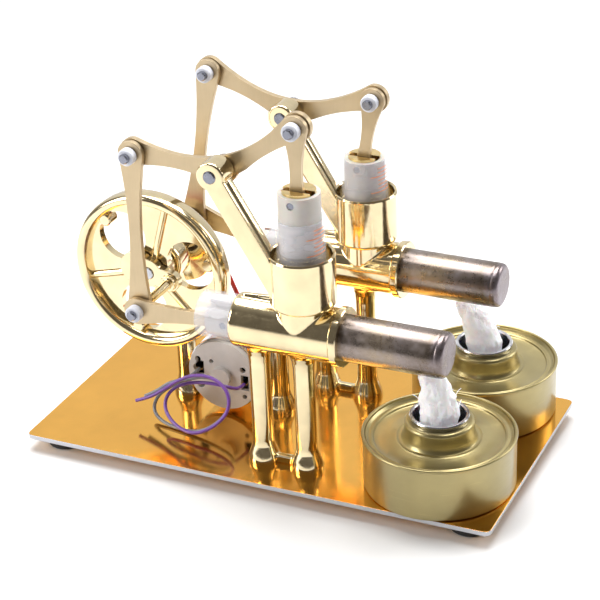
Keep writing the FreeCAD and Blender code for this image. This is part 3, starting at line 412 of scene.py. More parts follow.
# ---- mesh building -------------------------------------------------------------------------------
class Piece:
    """One visible piece, gathered from turned and flat parts in millimetres."""

    def __init__(self, name, *finishes):
        self.name = name
        self.finishes = finishes
        self.mesh = bmesh.new()

    def _claim(self, before, finish):
        faces = [f for f in self.mesh.faces if f not in before]
        for face in faces:
            face.material_index = finish
            face.smooth = True
        return faces

    def lathe(self, profile, base, direction, finish=0, sides=ROUND, closed=False):
        """Turns (radius, height) points about an axis; a closed profile makes a ring."""
        before = set(self.mesh.faces)
        turn = Z_AXIS.rotation_difference(Vector(direction)).to_matrix()
        rings = []
        for radius, height in profile:
            if radius == 0:
                rings.append([self.mesh.verts.new(Vector(base) + turn @ Vector((0, 0, height)))])
                continue
            angles = (2 * math.pi * i / sides for i in range(sides))
            rings.append([self.mesh.verts.new(
                Vector(base) + turn @ Vector((radius * math.cos(a), radius * math.sin(a), height)))
                for a in angles])
        pairs = list(zip(rings, rings[1:] + rings[:1])) if closed else list(zip(rings, rings[1:]))
        for low, high in pairs:
            self._band(low, high, sides)
        faces = self._claim(before, finish)
        bmesh.ops.recalc_face_normals(self.mesh, faces=faces)
        return self

    def _band(self, low, high, sides):
        for i in range(sides):
            j = (i + 1) % sides
            if len(low) == len(high) == 1:
                continue
            if len(low) == 1:
                self.mesh.faces.new((low[0], high[j], high[i]))
            elif len(high) == 1:
                self.mesh.faces.new((low[i], low[j], high[0]))
            else:
                self.mesh.faces.new((low[i], low[j], high[j], high[i]))

    def prism(self, outline, y0, y1, finish=0):
        """Extrudes an (x, z) outline along Y."""
        before = set(self.mesh.faces)
        front = [self.mesh.verts.new((x, y0, z)) for x, z in outline]
        back = [self.mesh.verts.new((x, y1, z)) for x, z in outline]
        self.mesh.faces.new(front)
        self.mesh.faces.new(back[::-1])
        count = len(outline)
        for i in range(count):
            j = (i + 1) % count
            self.mesh.faces.new((front[i], back[i], back[j], front[j]))
        faces = self._claim(before, finish)
        bmesh.ops.recalc_face_normals(self.mesh, faces=faces)
        return self

    def box(self, low, high, finish=0):
        outline = [(low[0], low[2]), (high[0], low[2]), (high[0], high[2]), (low[0], high[2])]
        return self.prism(outline, low[1], high[1], finish)

    def disc(self, x, z, radius, y0, y1, finish=0, edge=0.15, sides=PIN_ROUND):
        """Short round bar along Y with broken edges."""
        profile = [(0, 0), (radius - edge, 0), (radius, edge), (radius, y1 - y0 - edge),
                   (radius - edge, y1 - y0), (0, y1 - y0)]
        return self.lathe(profile, (x, y0, z), Y_AXIS, finish, sides)

    def object(self):
        bmesh.ops.scale(self.mesh, vec=(MM, MM, MM), verts=self.mesh.verts)
        data = bpy.data.meshes.new(self.name)
        self.mesh.to_mesh(data)
        self.mesh.free()
        for name in self.finishes:
            data.materials.append(FINISHES[name])
        made = bpy.data.objects.new(self.name, data)
        bpy.context.scene.collection.objects.link(made)
        data.set_sharp_from_angle(angle=SMOOTH_ANGLE)
        return made


def round_edges(thing, width, segments=2):
    bevel = thing.modifiers.new("edges", "BEVEL")
    bevel.width = width * MM
    bevel.segments = segments
    bevel.limit_method = "ANGLE"
    bevel.angle_limit = math.radians(40)
    bevel.harden_normals = True
    return thing


def bake_modifiers(thing):
    """Turns the object with its modifiers into a plain mesh."""
    graph = bpy.context.evaluated_depsgraph_get()
    data = bpy.data.meshes.new_from_object(thing.evaluated_get(graph))
    thing.modifiers.clear()
    thing.data = data
    return thing


def settle(thing, body, nodes):
    """Attaches a finished piece to its body, in place of the plain nodes it shows."""
    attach(thing, body)
    if nodes:
        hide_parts(*nodes)
    return thing


FINE_ANGLE = 1.0           # degrees up to which a node's facets are merged before its edges are broken
MERGE_ANGLE = 2.0


def refined(node, finish, edge, body, slot, angle=FINE_ANGLE):
    """A node's own shape, merged, with broken edges and a finish."""
    source = frame["nodes"][node]
    work = bmesh.new()
    work.from_mesh(source.data)
    bmesh.ops.remove_doubles(work, verts=work.verts, dist=1e-6)
    bmesh.ops.dissolve_limit(work, angle_limit=math.radians(angle), verts=work.verts, edges=work.edges)
    for face in work.faces:
        face.smooth = True
        face.material_index = 0
    data = bpy.data.meshes.new(node + "_finished")
    work.to_mesh(data)
    work.free()
    data.materials.append(FINISHES[finish])
    thing = bpy.data.objects.new(node + "_finished", data)
    bpy.context.scene.collection.objects.link(thing)
    data.set_sharp_from_angle(angle=SMOOTH_ANGLE)
    round_edges(thing, edge)
    return settle(thing, body, [node])


def arc(x, z, radius, start, end, steps):
    """Points of an arc in the XZ plane, angles in degrees."""
    angles = [math.radians(start + (end - start) * i / steps) for i in range(steps + 1)]
    return [(x + radius * math.cos(a), z + radius * math.sin(a)) for a in angles]


def bowed(a, b, sag, steps):
    """Points between a and b on a shallow bow, leaving both ends out."""
    ax, az = a
    bx, bz = b
    run = math.hypot(bx - ax, bz - az)
    nx, nz = -(bz - az) / run, (bx - ax) / run
    points = []
    for i in range(1, steps):
        t = i / steps
        lift = sag * 4 * t * (1 - t)
        points.append((ax + (bx - ax) * t + nx * lift, az + (bz - az) * t + nz * lift))
    return points


def link_outline(a, b, r_a, r_b, waist):
    """Flat link from eye a to eye b with sides that bow in to the waist."""
    (ax, az), (bx, bz) = a, b
    heading = math.degrees(math.atan2(bz - az, bx - ax))
    eye_a = arc(ax, az, r_a, heading + 80, heading + 280, 22)
    eye_b = arc(bx, bz, r_b, heading - 80, heading + 80, 18)
    sag = (r_a + r_b) / 2 - waist / 2
    near = bowed(eye_a[-1], eye_b[0], sag, 14)
    far = bowed(eye_b[-1], eye_a[0], sag, 14)
    return eye_a + near + eye_b + far


def turn_point(x, z, pivot, degrees):
    a = math.radians(degrees)
    return (pivot[0] + x * math.cos(a) - z * math.sin(a), pivot[1] + x * math.sin(a) + z * math.cos(a))


# ---- repeated detail made with Geometry Nodes ----------------------------------------------------
def node_group(name, inputs):
    """An empty geometry tree with named inputs: (name, socket type, default)."""
    tree = bpy.data.node_groups.new(name, "GeometryNodeTree")
    tree.interface.new_socket("Geometry", in_out="OUTPUT", socket_type="NodeSocketGeometry")
    for label, kind, default in inputs:
        socket = tree.interface.new_socket(label, in_out="INPUT", socket_type=kind)
        socket.default_value = default
    return tree


def add(tree, kind, settings=None, **links):
    """Adds a geometry node; each keyword is an input's name with _ for a space."""
    made = tree.nodes.new(kind)
    for key, value in (settings or {}).items():
        setattr(made, key, value)
    for key, value in links.items():
        socket = made.inputs[key.replace("_", " ")]
        if isinstance(value, bpy.types.NodeSocket):
            tree.links.new(value, socket)
        else:
            socket.default_value = value
    return made


def close_tree(tree, geometry, finish):
    real = add(tree, "GeometryNodeRealizeInstances", Geometry=geometry)
    done = add(tree, "GeometryNodeSetMaterial", Geometry=real.outputs[0], Material=FINISHES[finish])
    out = tree.nodes.new("NodeGroupOutput")
    tree.links.new(done.outputs[0], out.inputs[0])


def run_tree(name, tree, values):
    """Runs a tree on an empty mesh object and keeps the plain mesh."""
    thing = bpy.data.objects.new(name, bpy.data.meshes.new(name))
    bpy.context.scene.collection.objects.link(thing)
    modifier = thing.modifiers.new("detail", "NODES")
    modifier.node_group = tree
    for item in tree.interface.items_tree:
        if item.in_out == "INPUT" and item.name in values:
            modifier[item.identifier] = values[item.name]
    bpy.context.view_layer.update()
    bake_modifiers(thing)
    thing.data.shade_smooth()
    thing.data.set_sharp_from_angle(angle=SMOOTH_ANGLE)
    return thing


TICK_ARC = (-32, 34)       # start and sweep of a short line, in degrees
LONG_TICK_ARC = (-52, 58)
LONG_TICK_EVERY = 4.0


def tick_tree():
    """Printed lines round a barrel: short arcs at even steps, with a longer one at every fourth."""
    tree = node_group("barrel_ticks", [("Radius", "NodeSocketFloat", 0.007),
                                       ("Step", "NodeSocketFloat", 0.001),
                                       ("Count", "NodeSocketInt", 8),
                                       ("Line", "NodeSocketFloat", 0.0001)])
    group = tree.nodes.new("NodeGroupInput")
    radius, step, count, line = (group.outputs[n] for n in ("Radius", "Step", "Count", "Line"))
    short, long = (add(tree, "GeometryNodeCurveArc", Resolution=resolution, Radius=radius,
                       Start_Angle=math.radians(start), Sweep_Angle=math.radians(sweep))
                   for resolution, (start, sweep) in ((14, TICK_ARC), (22, LONG_TICK_ARC)))
    section = add(tree, "GeometryNodeCurvePrimitiveCircle", Resolution=6, Radius=line)
    offset = add(tree, "ShaderNodeCombineXYZ", Z=step)
    points = add(tree, "GeometryNodeMeshLine", Count=count, Offset=offset.outputs[0])
    index = add(tree, "GeometryNodeInputIndex")
    turn = add(tree, "ShaderNodeMath", {"operation": "MODULO"})
    tree.links.new(index.outputs[0], turn.inputs[0])
    turn.inputs[1].default_value = LONG_TICK_EVERY
    is_long = add(tree, "FunctionNodeCompare", {"data_type": "FLOAT", "operation": "LESS_THAN"})
    tree.links.new(turn.outputs[0], is_long.inputs[0])
    is_long.inputs[1].default_value = 0.5
    is_short = add(tree, "FunctionNodeBooleanMath", {"operation": "NOT"})
    tree.links.new(is_long.outputs[0], is_short.inputs[0])
    joined = tree.nodes.new("GeometryNodeJoinGeometry")
    for arc_node, wanted in ((short, is_short), (long, is_long)):
        tube = add(tree, "GeometryNodeCurveToMesh", Curve=arc_node.outputs[0],
                   Profile_Curve=section.outputs[0], Fill_Caps=True)
        placed = add(tree, "GeometryNodeInstanceOnPoints", Points=points.outputs[0],
                     Selection=wanted.outputs[0], Instance=tube.outputs[0])
        tree.links.new(placed.outputs[0], joined.inputs[0])
    close_tree(tree, joined.outputs[0], "ticks")
    return tree


def screw_tree():
    """Round-headed screws, heads down, one under each leg."""
    tree = node_group("leg_screw_set", [("Head radius", "NodeSocketFloat", 0.0028),
                                        ("Head height", "NodeSocketFloat", SCREW_HEAD * MM),
                                        ("Shank radius", "NodeSocketFloat", 0.0015),
                                        ("Shank length", "NodeSocketFloat", 0.0085)])
    group = tree.nodes.new("NodeGroupInput")
    head_r, head_h, shank_r, shank_l = (group.outputs[i] for i in range(4))
    head = add(tree, "GeometryNodeMeshCylinder", Vertices=32, Radius=head_r, Depth=head_h)
    thread = add(tree, "GeometryNodeCurvePrimitiveLine")
    end = add(tree, "ShaderNodeCombineXYZ", Z=shank_l)
    tree.links.new(end.outputs[0], thread.inputs["End"])
    section = add(tree, "GeometryNodeCurvePrimitiveCircle", Resolution=24, Radius=shank_r)
    shank = add(tree, "GeometryNodeCurveToMesh", Curve=thread.outputs[0], Profile_Curve=section.outputs[0],
                Fill_Caps=True)
    screw = tree.nodes.new("GeometryNodeJoinGeometry")
    tree.links.new(head.outputs[0], screw.inputs[0])
    tree.links.new(shank.outputs[0], screw.inputs[0])
    places = tree.nodes.new("GeometryNodeJoinGeometry")
    for x, y in LEG_PLACES:
        place = (x * MM, y * MM, (PLATE_LOW.z - SCREW_HEAD / 2) * MM)
        point = add(tree, "GeometryNodePoints", Position=place)
        tree.links.new(point.outputs[0], places.inputs[0])
    placed = add(tree, "GeometryNodeInstanceOnPoints", Points=places.outputs[0], Instance=screw.outputs[0])
    close_tree(tree, placed.outputs[0], "bright")
    return tree


# ---- base ----------------------------------------------------------------------------------------
PLATE_CORNER = 2.0
FOOT_INSET = 9.0
LEG_X = (-0.5, 13.8)
STAND_LEG_X = (-40.8, -8.6)
SCREW_ROUND = 0.2
STAND_Y = middle("shaft_bearings").y
SCREW_HEAD = 1.4
LEG_PLACES = [(x, UNIT_Y[u]) for u in UNITS for x in LEG_X] + [(x, STAND_Y) for x in STAND_LEG_X]


def rounded_rectangle(low, high, radius):
    points = []
    for cx, cy, start in ((high.x - radius, high.y - radius, 0), (low.x + radius, high.y - radius, 90),
                          (low.x + radius, low.y + radius, 180), (high.x - radius, low.y + radius, 270)):
        points += arc(cx, cy, radius, start, start + 90, 8)
    return points


class ENGINE_OT_base(bpy.types.Operator):
    """Mirror plate with its bare edge, four rubber feet and the screws under the legs"""
    bl_idname = "engine.base"
    bl_label = "Base plate and feet"

    def execute(self, context):
        edge = context.scene.engine_sizes.edge
        plate = Piece("mirror_plate", "plate", "cut_edge")
        outline = rounded_rectangle(PLATE_LOW, PLATE_HIGH, PLATE_CORNER)
        low = [plate.mesh.verts.new((x, y, PLATE_LOW.z)) for x, y in outline]
        high = [plate.mesh.verts.new((x, y, PLATE_HIGH.z)) for x, y in outline]
        plate.mesh.faces.new(high)
        plate.mesh.faces.new(low[::-1])
        for i in range(len(outline)):
            j = (i + 1) % len(outline)
            side = plate.mesh.faces.new((low[i], low[j], high[j], high[i]))
            side.material_index = 1
            side.smooth = True
        bmesh.ops.recalc_face_normals(plate.mesh, faces=plate.mesh.faces)
        settle(round_edges(plate.object(), edge), "root", ["base_plate"])
        feet = Piece("feet", "rubber")
        top = PLATE_LOW.z
        profile = [(0, 0), (3.2, 0), (3.4, 0.3), (4.6, 0.3), (5.0, 0), (5.4, 0.05), (5.8, 0.35), (6.0, 0.9),
                   (5.9, 2.2), (5.65, top - 0.4), (5.4, top), (0, top)]
        for x in (PLATE_LOW.x + FOOT_INSET, PLATE_HIGH.x - FOOT_INSET):
            for y in (PLATE_LOW.y + FOOT_INSET, PLATE_HIGH.y - FOOT_INSET):
                feet.lathe(profile, (x, y, 0), Z_AXIS, 0, 56)
        settle(feet.object(), "root", ["rubber_feet"])
        screws = run_tree("leg_screw_set", screw_tree(), {})
        settle(round_edges(screws, SCREW_ROUND), "root", ["leg_screws"])
        return {"FINISHED"}


# ---- castings ------------------------------------------------------------------------------------
HOUSING_LEFT_X = -6.5
HOUSING_RADIUS = 8.1
COLLAR_END_X = corners("casting_front")[1].x
COLLAR_RADIUS = 8.9
COLLAR_WIDTH = 2.6
UPRIGHT_RADIUS = 9.7
CUP_BOTTOM_Z = 60.6
RIM_TOP_Z = 76.8
RIM_BORE = 8.8
RIM_DEPTH = 4.5
GLASS_RADIUS = 7.0
GLASS_WALL = 0.8
CAP_RADIUS = 6.8
EYE_RADIUS = 4.3
ARM_FRONT = -7.5
ARM_THICK = 5.2
LINK_FRONT = -1.8
LINK_THICK = 1.6
SIDE_GAP = 0.3
TIE_HEIGHT = 2.6           # low web between the feet of two legs
TIE_HALF = 1.0
FIN_HALF = 0.8             # half the thickness of the fin between the housing and the cup
NECK_RADIUS = 7.7
LEG_HEAD = 6.0             # height of a leg's trumpet head
LEG_TOP_DROP = 6.4         # from the housing's axis down to the top of a leg
SEAT_CLEARANCE = 0.05
CAP_CLEARANCE = 0.06
SEAT_DEPTH = 11
GLASS_SEAT_Z = 62
ARM_FOOT = (8.0, 70.5)
ARM_RUN = 39.0
# width, and where it starts and ends behind the arm's front face: front plate, core, back plate
ARM_BARS = ((6.2, 0.0, 1.7), (4.4, 0.4, ARM_THICK), (6.0, 2.7, ARM_THICK))


def leg_profile(height, flare):
    """Bell foot, slim shank and a trumpet head."""
    foot = [(0, 0), (4.9, 0), (4.9, 0.9), (4.75, 1.8), (4.4, 3.0), (3.9, 4.4), (3.45, 5.8), (3.25, 7.2)]
    head = [(3.15, height - flare - 3), (3.2, height - flare), (3.5, height - flare * 0.6),
            (4.2, height - flare * 0.25), (5.2, height), (0, height)]
    return foot + head


def bell_rings(piece, x, y):
    """Crisp turned lip round a leg's foot."""
    profile = [(4.3, 0), (4.85, 0), (4.92, 0.35), (4.85, 0.75), (4.6, 0.9), (4.3, 0.9)]
    piece.lathe(profile, (x, y, PLATE_TOP), Z_AXIS, 0, 64, True)


def blend_casting(thing, grain):
    """Runs the parts together as one cast skin with soft inner corners."""
    skin = thing.modifiers.new("skin", "REMESH")
    skin.mode = "VOXEL"
    skin.voxel_size = grain * MM
    soft = thing.modifiers.new("soft", "SMOOTH")
    soft.factor = 0.5
    soft.iterations = 5
    bake_modifiers(thing)
    thing.data.shade_smooth()
    return thing


def bore(thing, tool_piece):
    """Cuts turned holes out of a casting, with clean walls."""
    tool = tool_piece.object()
    cut = thing.modifiers.new("bore", "BOOLEAN")
    cut.operation = "DIFFERENCE"
    cut.solver = "EXACT"
    cut.object = tool
    bake_modifiers(thing)
    bpy.data.objects.remove(tool)
    thing.data.set_sharp_from_angle(angle=math.radians(40))
    return thing


def join_into(thing, extra):
    """Adds another object's mesh to a piece that has the same finishes."""
    work = bmesh.new()
    work.from_mesh(thing.data)
    work.from_mesh(extra.data)
    work.to_mesh(thing.data)
    work.free()
    bpy.data.objects.remove(extra)
    return thing


def arm_parts(cast, y):
    """Slanted arm: a flat front plate, a grooved core and a back plate, up to the pivot barrel."""
    front = y + ARM_FRONT
    eye = (PIVOT.x, PIVOT.z)
    heading = math.degrees(math.atan2(ARM_FOOT[1] - eye[1], ARM_FOOT[0] - eye[0]))
    for width, start, end in ARM_BARS:
        outline = [turn_point(run, side * width / 2, eye, heading)
                   for run, side in ((0, 1), (0, -1), (ARM_RUN, -1), (ARM_RUN, 1))]
        cast.prism(outline, front + start, front + end)
    cast.disc(eye[0], eye[1], EYE_RADIUS, front, y + LINK_FRONT + LINK_THICK, 0, 0.3, 72)


def make_casting(unit, sizes):
    """Housing, neck, cup, arm, legs, web and fin as one skin; then its bored seats and crisp lips."""
    y = UNIT_Y[unit]
    cast = Piece("casting_" + unit + "_cast", "plating")
    width = COLLAR_END_X - HOUSING_LEFT_X
    cast.lathe([(0, 0), (NECK_RADIUS, 0), (HOUSING_RADIUS, 0.5), (HOUSING_RADIUS, width - 0.6), (7.6, width),
                (0, width)], (HOUSING_LEFT_X, y, AXIS_Z), X_AXIS)
    neck = CUP_BOTTOM_Z + 3 - AXIS_Z
    cast.lathe([(0, 0), (NECK_RADIUS, 0), (NECK_RADIUS, neck), (0, neck)], (POWER_X, y, AXIS_Z), Z_AXIS)
    core = UPRIGHT_RADIUS - 0.35
    cast.lathe([(0, CUP_BOTTOM_Z + 0.5), (core - 1.6, CUP_BOTTOM_Z + 0.5), (core, CUP_BOTTOM_Z + 2.0),
                (core, RIM_TOP_Z - 0.6), (0, RIM_TOP_Z - 0.6)], (POWER_X, y, 0), Z_AXIS)
    arm_parts(cast, y)
    for x in LEG_X:
        cast.lathe(leg_profile(AXIS_Z - PLATE_TOP - LEG_TOP_DROP, LEG_HEAD), (x, y, PLATE_TOP), Z_AXIS)
    cast.box((LEG_X[0], y - TIE_HALF, PLATE_TOP), (LEG_X[1], y + TIE_HALF, PLATE_TOP + TIE_HEIGHT))
    cast.prism([(HOUSING_LEFT_X + 1.6, AXIS_Z + 5), (POWER_X, AXIS_Z + 5), (POWER_X, AXIS_Z + 10.5),
                (POWER_X - 8.5, AXIS_Z + 9.5), (HOUSING_LEFT_X + 2.2, AXIS_Z + 8.9)],
               y - FIN_HALF, y + FIN_HALF)
    thing = blend_casting(cast.object(), sizes.cast_edge)
    tool = Piece("bore_tool", "plating")
    seat = GLASS_RADIUS + SEAT_CLEARANCE
    cap_seat = CAP_RADIUS + CAP_CLEARANCE
    cup_floor = RIM_TOP_Z - RIM_DEPTH
    tool.lathe([(0, GLASS_SEAT_Z), (seat, GLASS_SEAT_Z), (seat, cup_floor), (RIM_BORE - 0.4, cup_floor),
                (RIM_BORE, cup_floor + 0.5), (RIM_BORE, RIM_TOP_Z + 5), (0, RIM_TOP_Z + 5)],
               (POWER_X, y, 0), Z_AXIS)
    tool.lathe([(0, 0), (seat, 0), (seat, SEAT_DEPTH), (0, SEAT_DEPTH)],
               (HOUSING_LEFT_X - 0.5, y, AXIS_Z), X_AXIS)
    tool.lathe([(0, 0), (cap_seat, 0), (cap_seat, SEAT_DEPTH), (0, SEAT_DEPTH)],
               (COLLAR_END_X - 10.5, y, AXIS_Z), X_AXIS)
    bore(thing, tool)
    trim = Piece("casting_trim", "plating")
    low, top, r = CUP_BOTTOM_Z, RIM_TOP_Z, UPRIGHT_RADIUS
    trim.lathe([(r - 3.0, low + 0.25), (r - 2.2, low)] + arc(r - 1.5, low + 1.5, 1.5, -90, 0, 8)
               + [(r, top - 1.0), (r + 0.08, top - 0.5), (r - 0.2, top), (RIM_BORE + 0.3, top),
                  (RIM_BORE, top - 0.3), (RIM_BORE, top - 1.6), (r - 0.5, top - 1.8),
                  (r - 0.5, low + 2.0), (r - 2.0, low + 0.7)],
               (POWER_X, y, 0), Z_AXIS, 0, ROUND, True)
    collar = COLLAR_END_X - COLLAR_WIDTH
    trim.lathe([(7.6, 0), (8.1, -0.1), (COLLAR_RADIUS - 0.2, 0.25), (COLLAR_RADIUS, 0.55),
                (COLLAR_RADIUS, COLLAR_WIDTH - 0.3), (COLLAR_RADIUS - 0.3, COLLAR_WIDTH), (7.1, COLLAR_WIDTH),
                (CAP_RADIUS + 0.08, COLLAR_WIDTH - 0.25), (CAP_RADIUS + 0.08, 0)],
               (collar, y, AXIS_Z), X_AXIS, 0, ROUND, True)
    for x in LEG_X:
        bell_rings(trim, x, y)
    join_into(thing, trim.object())
    thing.name = "casting_" + unit + "_cast"
    settle(thing, "root", ["casting_" + unit])


BAR_Z = 36.0
BOSS_RADIUS = 7.0
STAND_LEG_HEAD = 5.0
STRUT_HALF = (3.4, 3.0)    # half the strut's width at the bar and at the boss
STRUT_DEPTH = 2.4
TAB_REACH = 6.0            # from the generator's axis out to each bracket tab
TAB_HALF = 2.0
RACE_SEAT = 5.02
RACE_DEPTH = 2.5
BOSS_BORE = 3.0


def make_stand(sizes):
    """Two legs, the bar over the generator and the bearing boss."""
    boss_low, boss_high = corners("shaft_bearings")
    cast = Piece("bearing_stand_cast", "plating")
    for x in STAND_LEG_X:
        cast.lathe(leg_profile(BAR_Z - PLATE_TOP, STAND_LEG_HEAD), (x, STAND_Y, PLATE_TOP), Z_AXIS)
    left, right = STAND_LEG_X
    span = right - left
    cast.lathe([(0, -3.2), (2.0, -2.8), (3.2, -1.2), (3.4, 0), (3.4, span), (3.2, span + 1.2),
                (2.0, span + 2.8), (0, span + 3.2)], (left, STAND_Y, BAR_Z), X_AXIS)
    cast.disc(SHAFT.x, SHAFT.z, BOSS_RADIUS, boss_low.y, boss_high.y, 0, 0.4, 72)
    low = (left - 0.6, BAR_Z)
    heading = math.degrees(math.atan2(SHAFT.z - low[1], SHAFT.x - low[0]))
    run = math.hypot(SHAFT.z - low[1], SHAFT.x - low[0])
    foot, top = STRUT_HALF
    strut = [turn_point(x, z, low, heading) for x, z in ((0, -foot), (run, -top), (run, top), (0, foot))]
    cast.prism(strut, STAND_Y - STRUT_DEPTH, STAND_Y + STRUT_DEPTH)
    bracket_front = corners("motor_bracket")[0].y
    for side in (-1, 1):
        x = MOTOR.x + side * TAB_REACH
        cast.box((x - TAB_HALF, STAND_Y, BAR_Z - TAB_HALF), (x + TAB_HALF, bracket_front, BAR_Z + TAB_HALF))
    thing = blend_casting(cast.object(), sizes.cast_edge)
    tool = Piece("bore_tool", "plating")
    depth = boss_high.y - boss_low.y
    tool.lathe([(0, -1), (RACE_SEAT, -1), (RACE_SEAT, RACE_DEPTH), (BOSS_BORE, RACE_DEPTH),
                (BOSS_BORE, depth - RACE_DEPTH), (RACE_SEAT, depth - RACE_DEPTH), (RACE_SEAT, depth + 1),
                (0, depth + 1)], (SHAFT.x, boss_low.y, SHAFT.z), Y_AXIS)
    bore(thing, tool)
    trim = Piece("stand_trim", "plating")
    for x in STAND_LEG_X:
        bell_rings(trim, x, STAND_Y)
    join_into(thing, trim.object())
    settle(thing, "root", ["bearing_stand"])


class ENGINE_OT_castings(bpy.types.Operator):
    """The two engine castings and the bearing stand, each one blended cast skin with bored seats"""
    bl_idname = "engine.castings"
    bl_label = "Castings"

    def execute(self, context):
        for unit in UNITS:
            make_casting(unit, context.scene.engine_sizes)
        make_stand(context.scene.engine_sizes)
        return {"FINISHED"}


# ---- glass, caps and pistons ---------------------------------------------------------------------
TICK_RISE = 1.6            # first line above the cup's rim
TICK_PROUD = 0.02
TICK_LINE = 0.11
# node, finish, broken edge, body, slot; %s stands for the unit
PISTON_PARTS = (
    ("power_piston_%s", "frosted", 0.3, "power_piston_%s_group", "white_plastic"),
    ("piston_insert_%s", "brass", 0.35, "power_piston_%s_group", "brass"),
    ("power_wrist_pin_%s", "dark_steel", 0.15, "power_piston_%s_group", "steel"),
    ("guide_piston_%s", "frosted", 0.25, "displacer_%s_group", "white_plastic"),
    ("guide_wrist_pin_%s", "dark_steel", 0.15, "displacer_%s_group", "steel"),
    ("displacer_%s", "bright", 0.4, "displacer_%s_group", "steel"),
)


def glass_barrel(name, run, base, direction):
    """Open glass tube with fire-rounded ends."""
    r = GLASS_RADIUS
    inner = r - GLASS_WALL
    piece = Piece(name, "glass")
    piece.lathe([(r - 0.3, 0), (r, 0.25), (r, run - 0.3), (r - 0.12, run - 0.08), (r - 0.4, run),
                 (inner + 0.12, run - 0.08), (inner, run - 0.3), (inner, 0.25), (inner + 0.2, 0)],
                base, direction, 0, ROUND, True)
    return piece.object()


class ENGINE_OT_barrels(bpy.types.Operator):
    """Glass barrels with printed lines, and the heat-tinted caps over the burners"""
    bl_idname = "engine.barrels"
    bl_label = "Barrels and hot caps"

    def execute(self, context):
        sizes = context.scene.engine_sizes
        tree = tick_tree()
        for unit in UNITS:
            y = UNIT_Y[unit]
            low, high = corners("power_glass_" + unit)
            barrel = glass_barrel("power_barrel_" + unit, high.z - low.z, (POWER_X, y, low.z), Z_AXIS)
            settle(barrel, "root", ["power_glass_" + unit])
            side_low, side_high = corners("guide_glass_" + unit)
            guide = glass_barrel("guide_barrel_" + unit, side_high.x - side_low.x,
                                 (side_high.x, y, AXIS_Z), -X_AXIS)
            settle(guide, "root", ["guide_glass_" + unit])
            self.ticks("power_ticks_" + unit, tree, sizes, Vector((POWER_X, y, RIM_TOP_Z + TICK_RISE)))
            self.hot_cap(unit, y)
        return {"FINISHED"}

    def ticks(self, name, tree, sizes, place):
        values = {"Radius": (GLASS_RADIUS + TICK_PROUD) * MM, "Step": sizes.tick_step * MM,
                  "Count": sizes.tick_count, "Line": TICK_LINE * MM}
        thing = run_tree(name, tree, values)
        thing.data.transform(Matrix.Translation(place * MM))
        settle(thing, "root", [])

    def hot_cap(self, unit, y):
        low, high = corners("hot_cap_" + unit)
        run = high.x - low.x
        r = CAP_RADIUS
        piece = Piece("hot_cap_" + unit + "_drawn", "hot")
        nose = [(r, run - 3.2), (r, run - 2.6), (r - 0.12, run - 2.3), (r - 0.02, run - 1.9)]
        crown = arc(r - 1.6, run - 1.6, 1.55, 0, 90, 8)
        piece.lathe([(r - 0.6, 0.1), (r - 0.3, 0), (r, 0.3)] + nose + crown
                    + [(r - 2.4, run - 0.02), (0, run - 0.02), (0, run - 0.6), (r - 1.8, run - 0.6),
                       (r - 0.8, run - 1.4), (r - 0.6, run - 2.4)],
                    (low.x, y, AXIS_Z), X_AXIS, 0, ROUND, True)
        settle(piece.object(), "root", ["hot_cap_" + unit])


class ENGINE_OT_pistons(bpy.types.Operator):
    """Power pistons with their slotted inserts, guide pistons, rods and displacers"""
    bl_idname = "engine.pistons"
    bl_label = "Pistons and displacers"

    def execute(self, context):
        for unit in UNITS:
            for node, finish, edge, body, slot in PISTON_PARTS:
                refined(node % unit, finish, edge, body % unit, slot)
        return {"FINISHED"}


# ---- linkage -------------------------------------------------------------------------------------
BEAM_ARM = 27.0
BEAM_RISE = 8.3
BEAM_EYE = 4.3
SPACER_RADIUS = 2.5
SPACER_LENGTH = 2.6
PIN_END = 1.2
BEAM_TILT = {"front": 15.6, "rear": -2.6}
BELLY = ((4.4, -2.6), (7.5, -1.6))      # where the belly meets the arms, right of the pivot
BELLY_RADIUS = 4.9
BEAM_SAG = 9.0
ARM_SAG = 0.9
# radius of the upper or crank eye, radius of the other eye, waist
LINK_SHAPES = {
    "long": (4.0, 4.3, 3.9),
    "power": (3.9, 2.7, 3.7),
    "displacer": (4.2, 2.6, 4.6),
}
PIN_RADIUS = 1.5
PIN_BORE = 1.55
WRIST_BORE = 1.15
PIVOT_RADIUS = 1.95
PIVOT_BORE = 2.05
KEEPER_RADIUS = 3.2
KEEPER_THICK = 1.2
CRANK_THROW = 7.6
CRANK_ANGLE = {"front": -14.0, "rear": 76.0}


def beam_pin(unit, side):
    return turn_point(side * BEAM_ARM, BEAM_RISE, (PIVOT.x, PIVOT.z), BEAM_TILT[unit])


def crank_pin(unit):
    return turn_point(CRANK_THROW, 0, (SHAFT.x, SHAFT.z), CRANK_ANGLE[unit])


def joint_place(name):
    place = JOINT_AT[name]
    return (place.x, place.z)


def beam_outline(unit):
    """Bowed upper edge, eyes at both ends, and a belly at the pivot."""
    inner, outer = BELLY
    left = arc(-BEAM_ARM, BEAM_RISE, BEAM_EYE, 68, 288, 26)
    right = arc(BEAM_ARM, BEAM_RISE, BEAM_EYE, -108, 112, 26)
    outer_left, inner_left = (-outer[0], outer[1]), (-inner[0], inner[1])
    belly = bowed(left[-1], outer_left, ARM_SAG, 10) + [outer_left, inner_left]
    belly += arc(0, 0, BELLY_RADIUS, 218, 322, 16) + [inner, outer]
    belly += bowed(outer, right[0], ARM_SAG, 10)
    top = [(x, z) for x, z in bowed(right[-1], left[0], BEAM_SAG, 40) if abs(x) < BEAM_ARM - 3.4]
    return [turn_point(x, z, (PIVOT.x, PIVOT.z), BEAM_TILT[unit]) for x, z in left + belly + right + top]


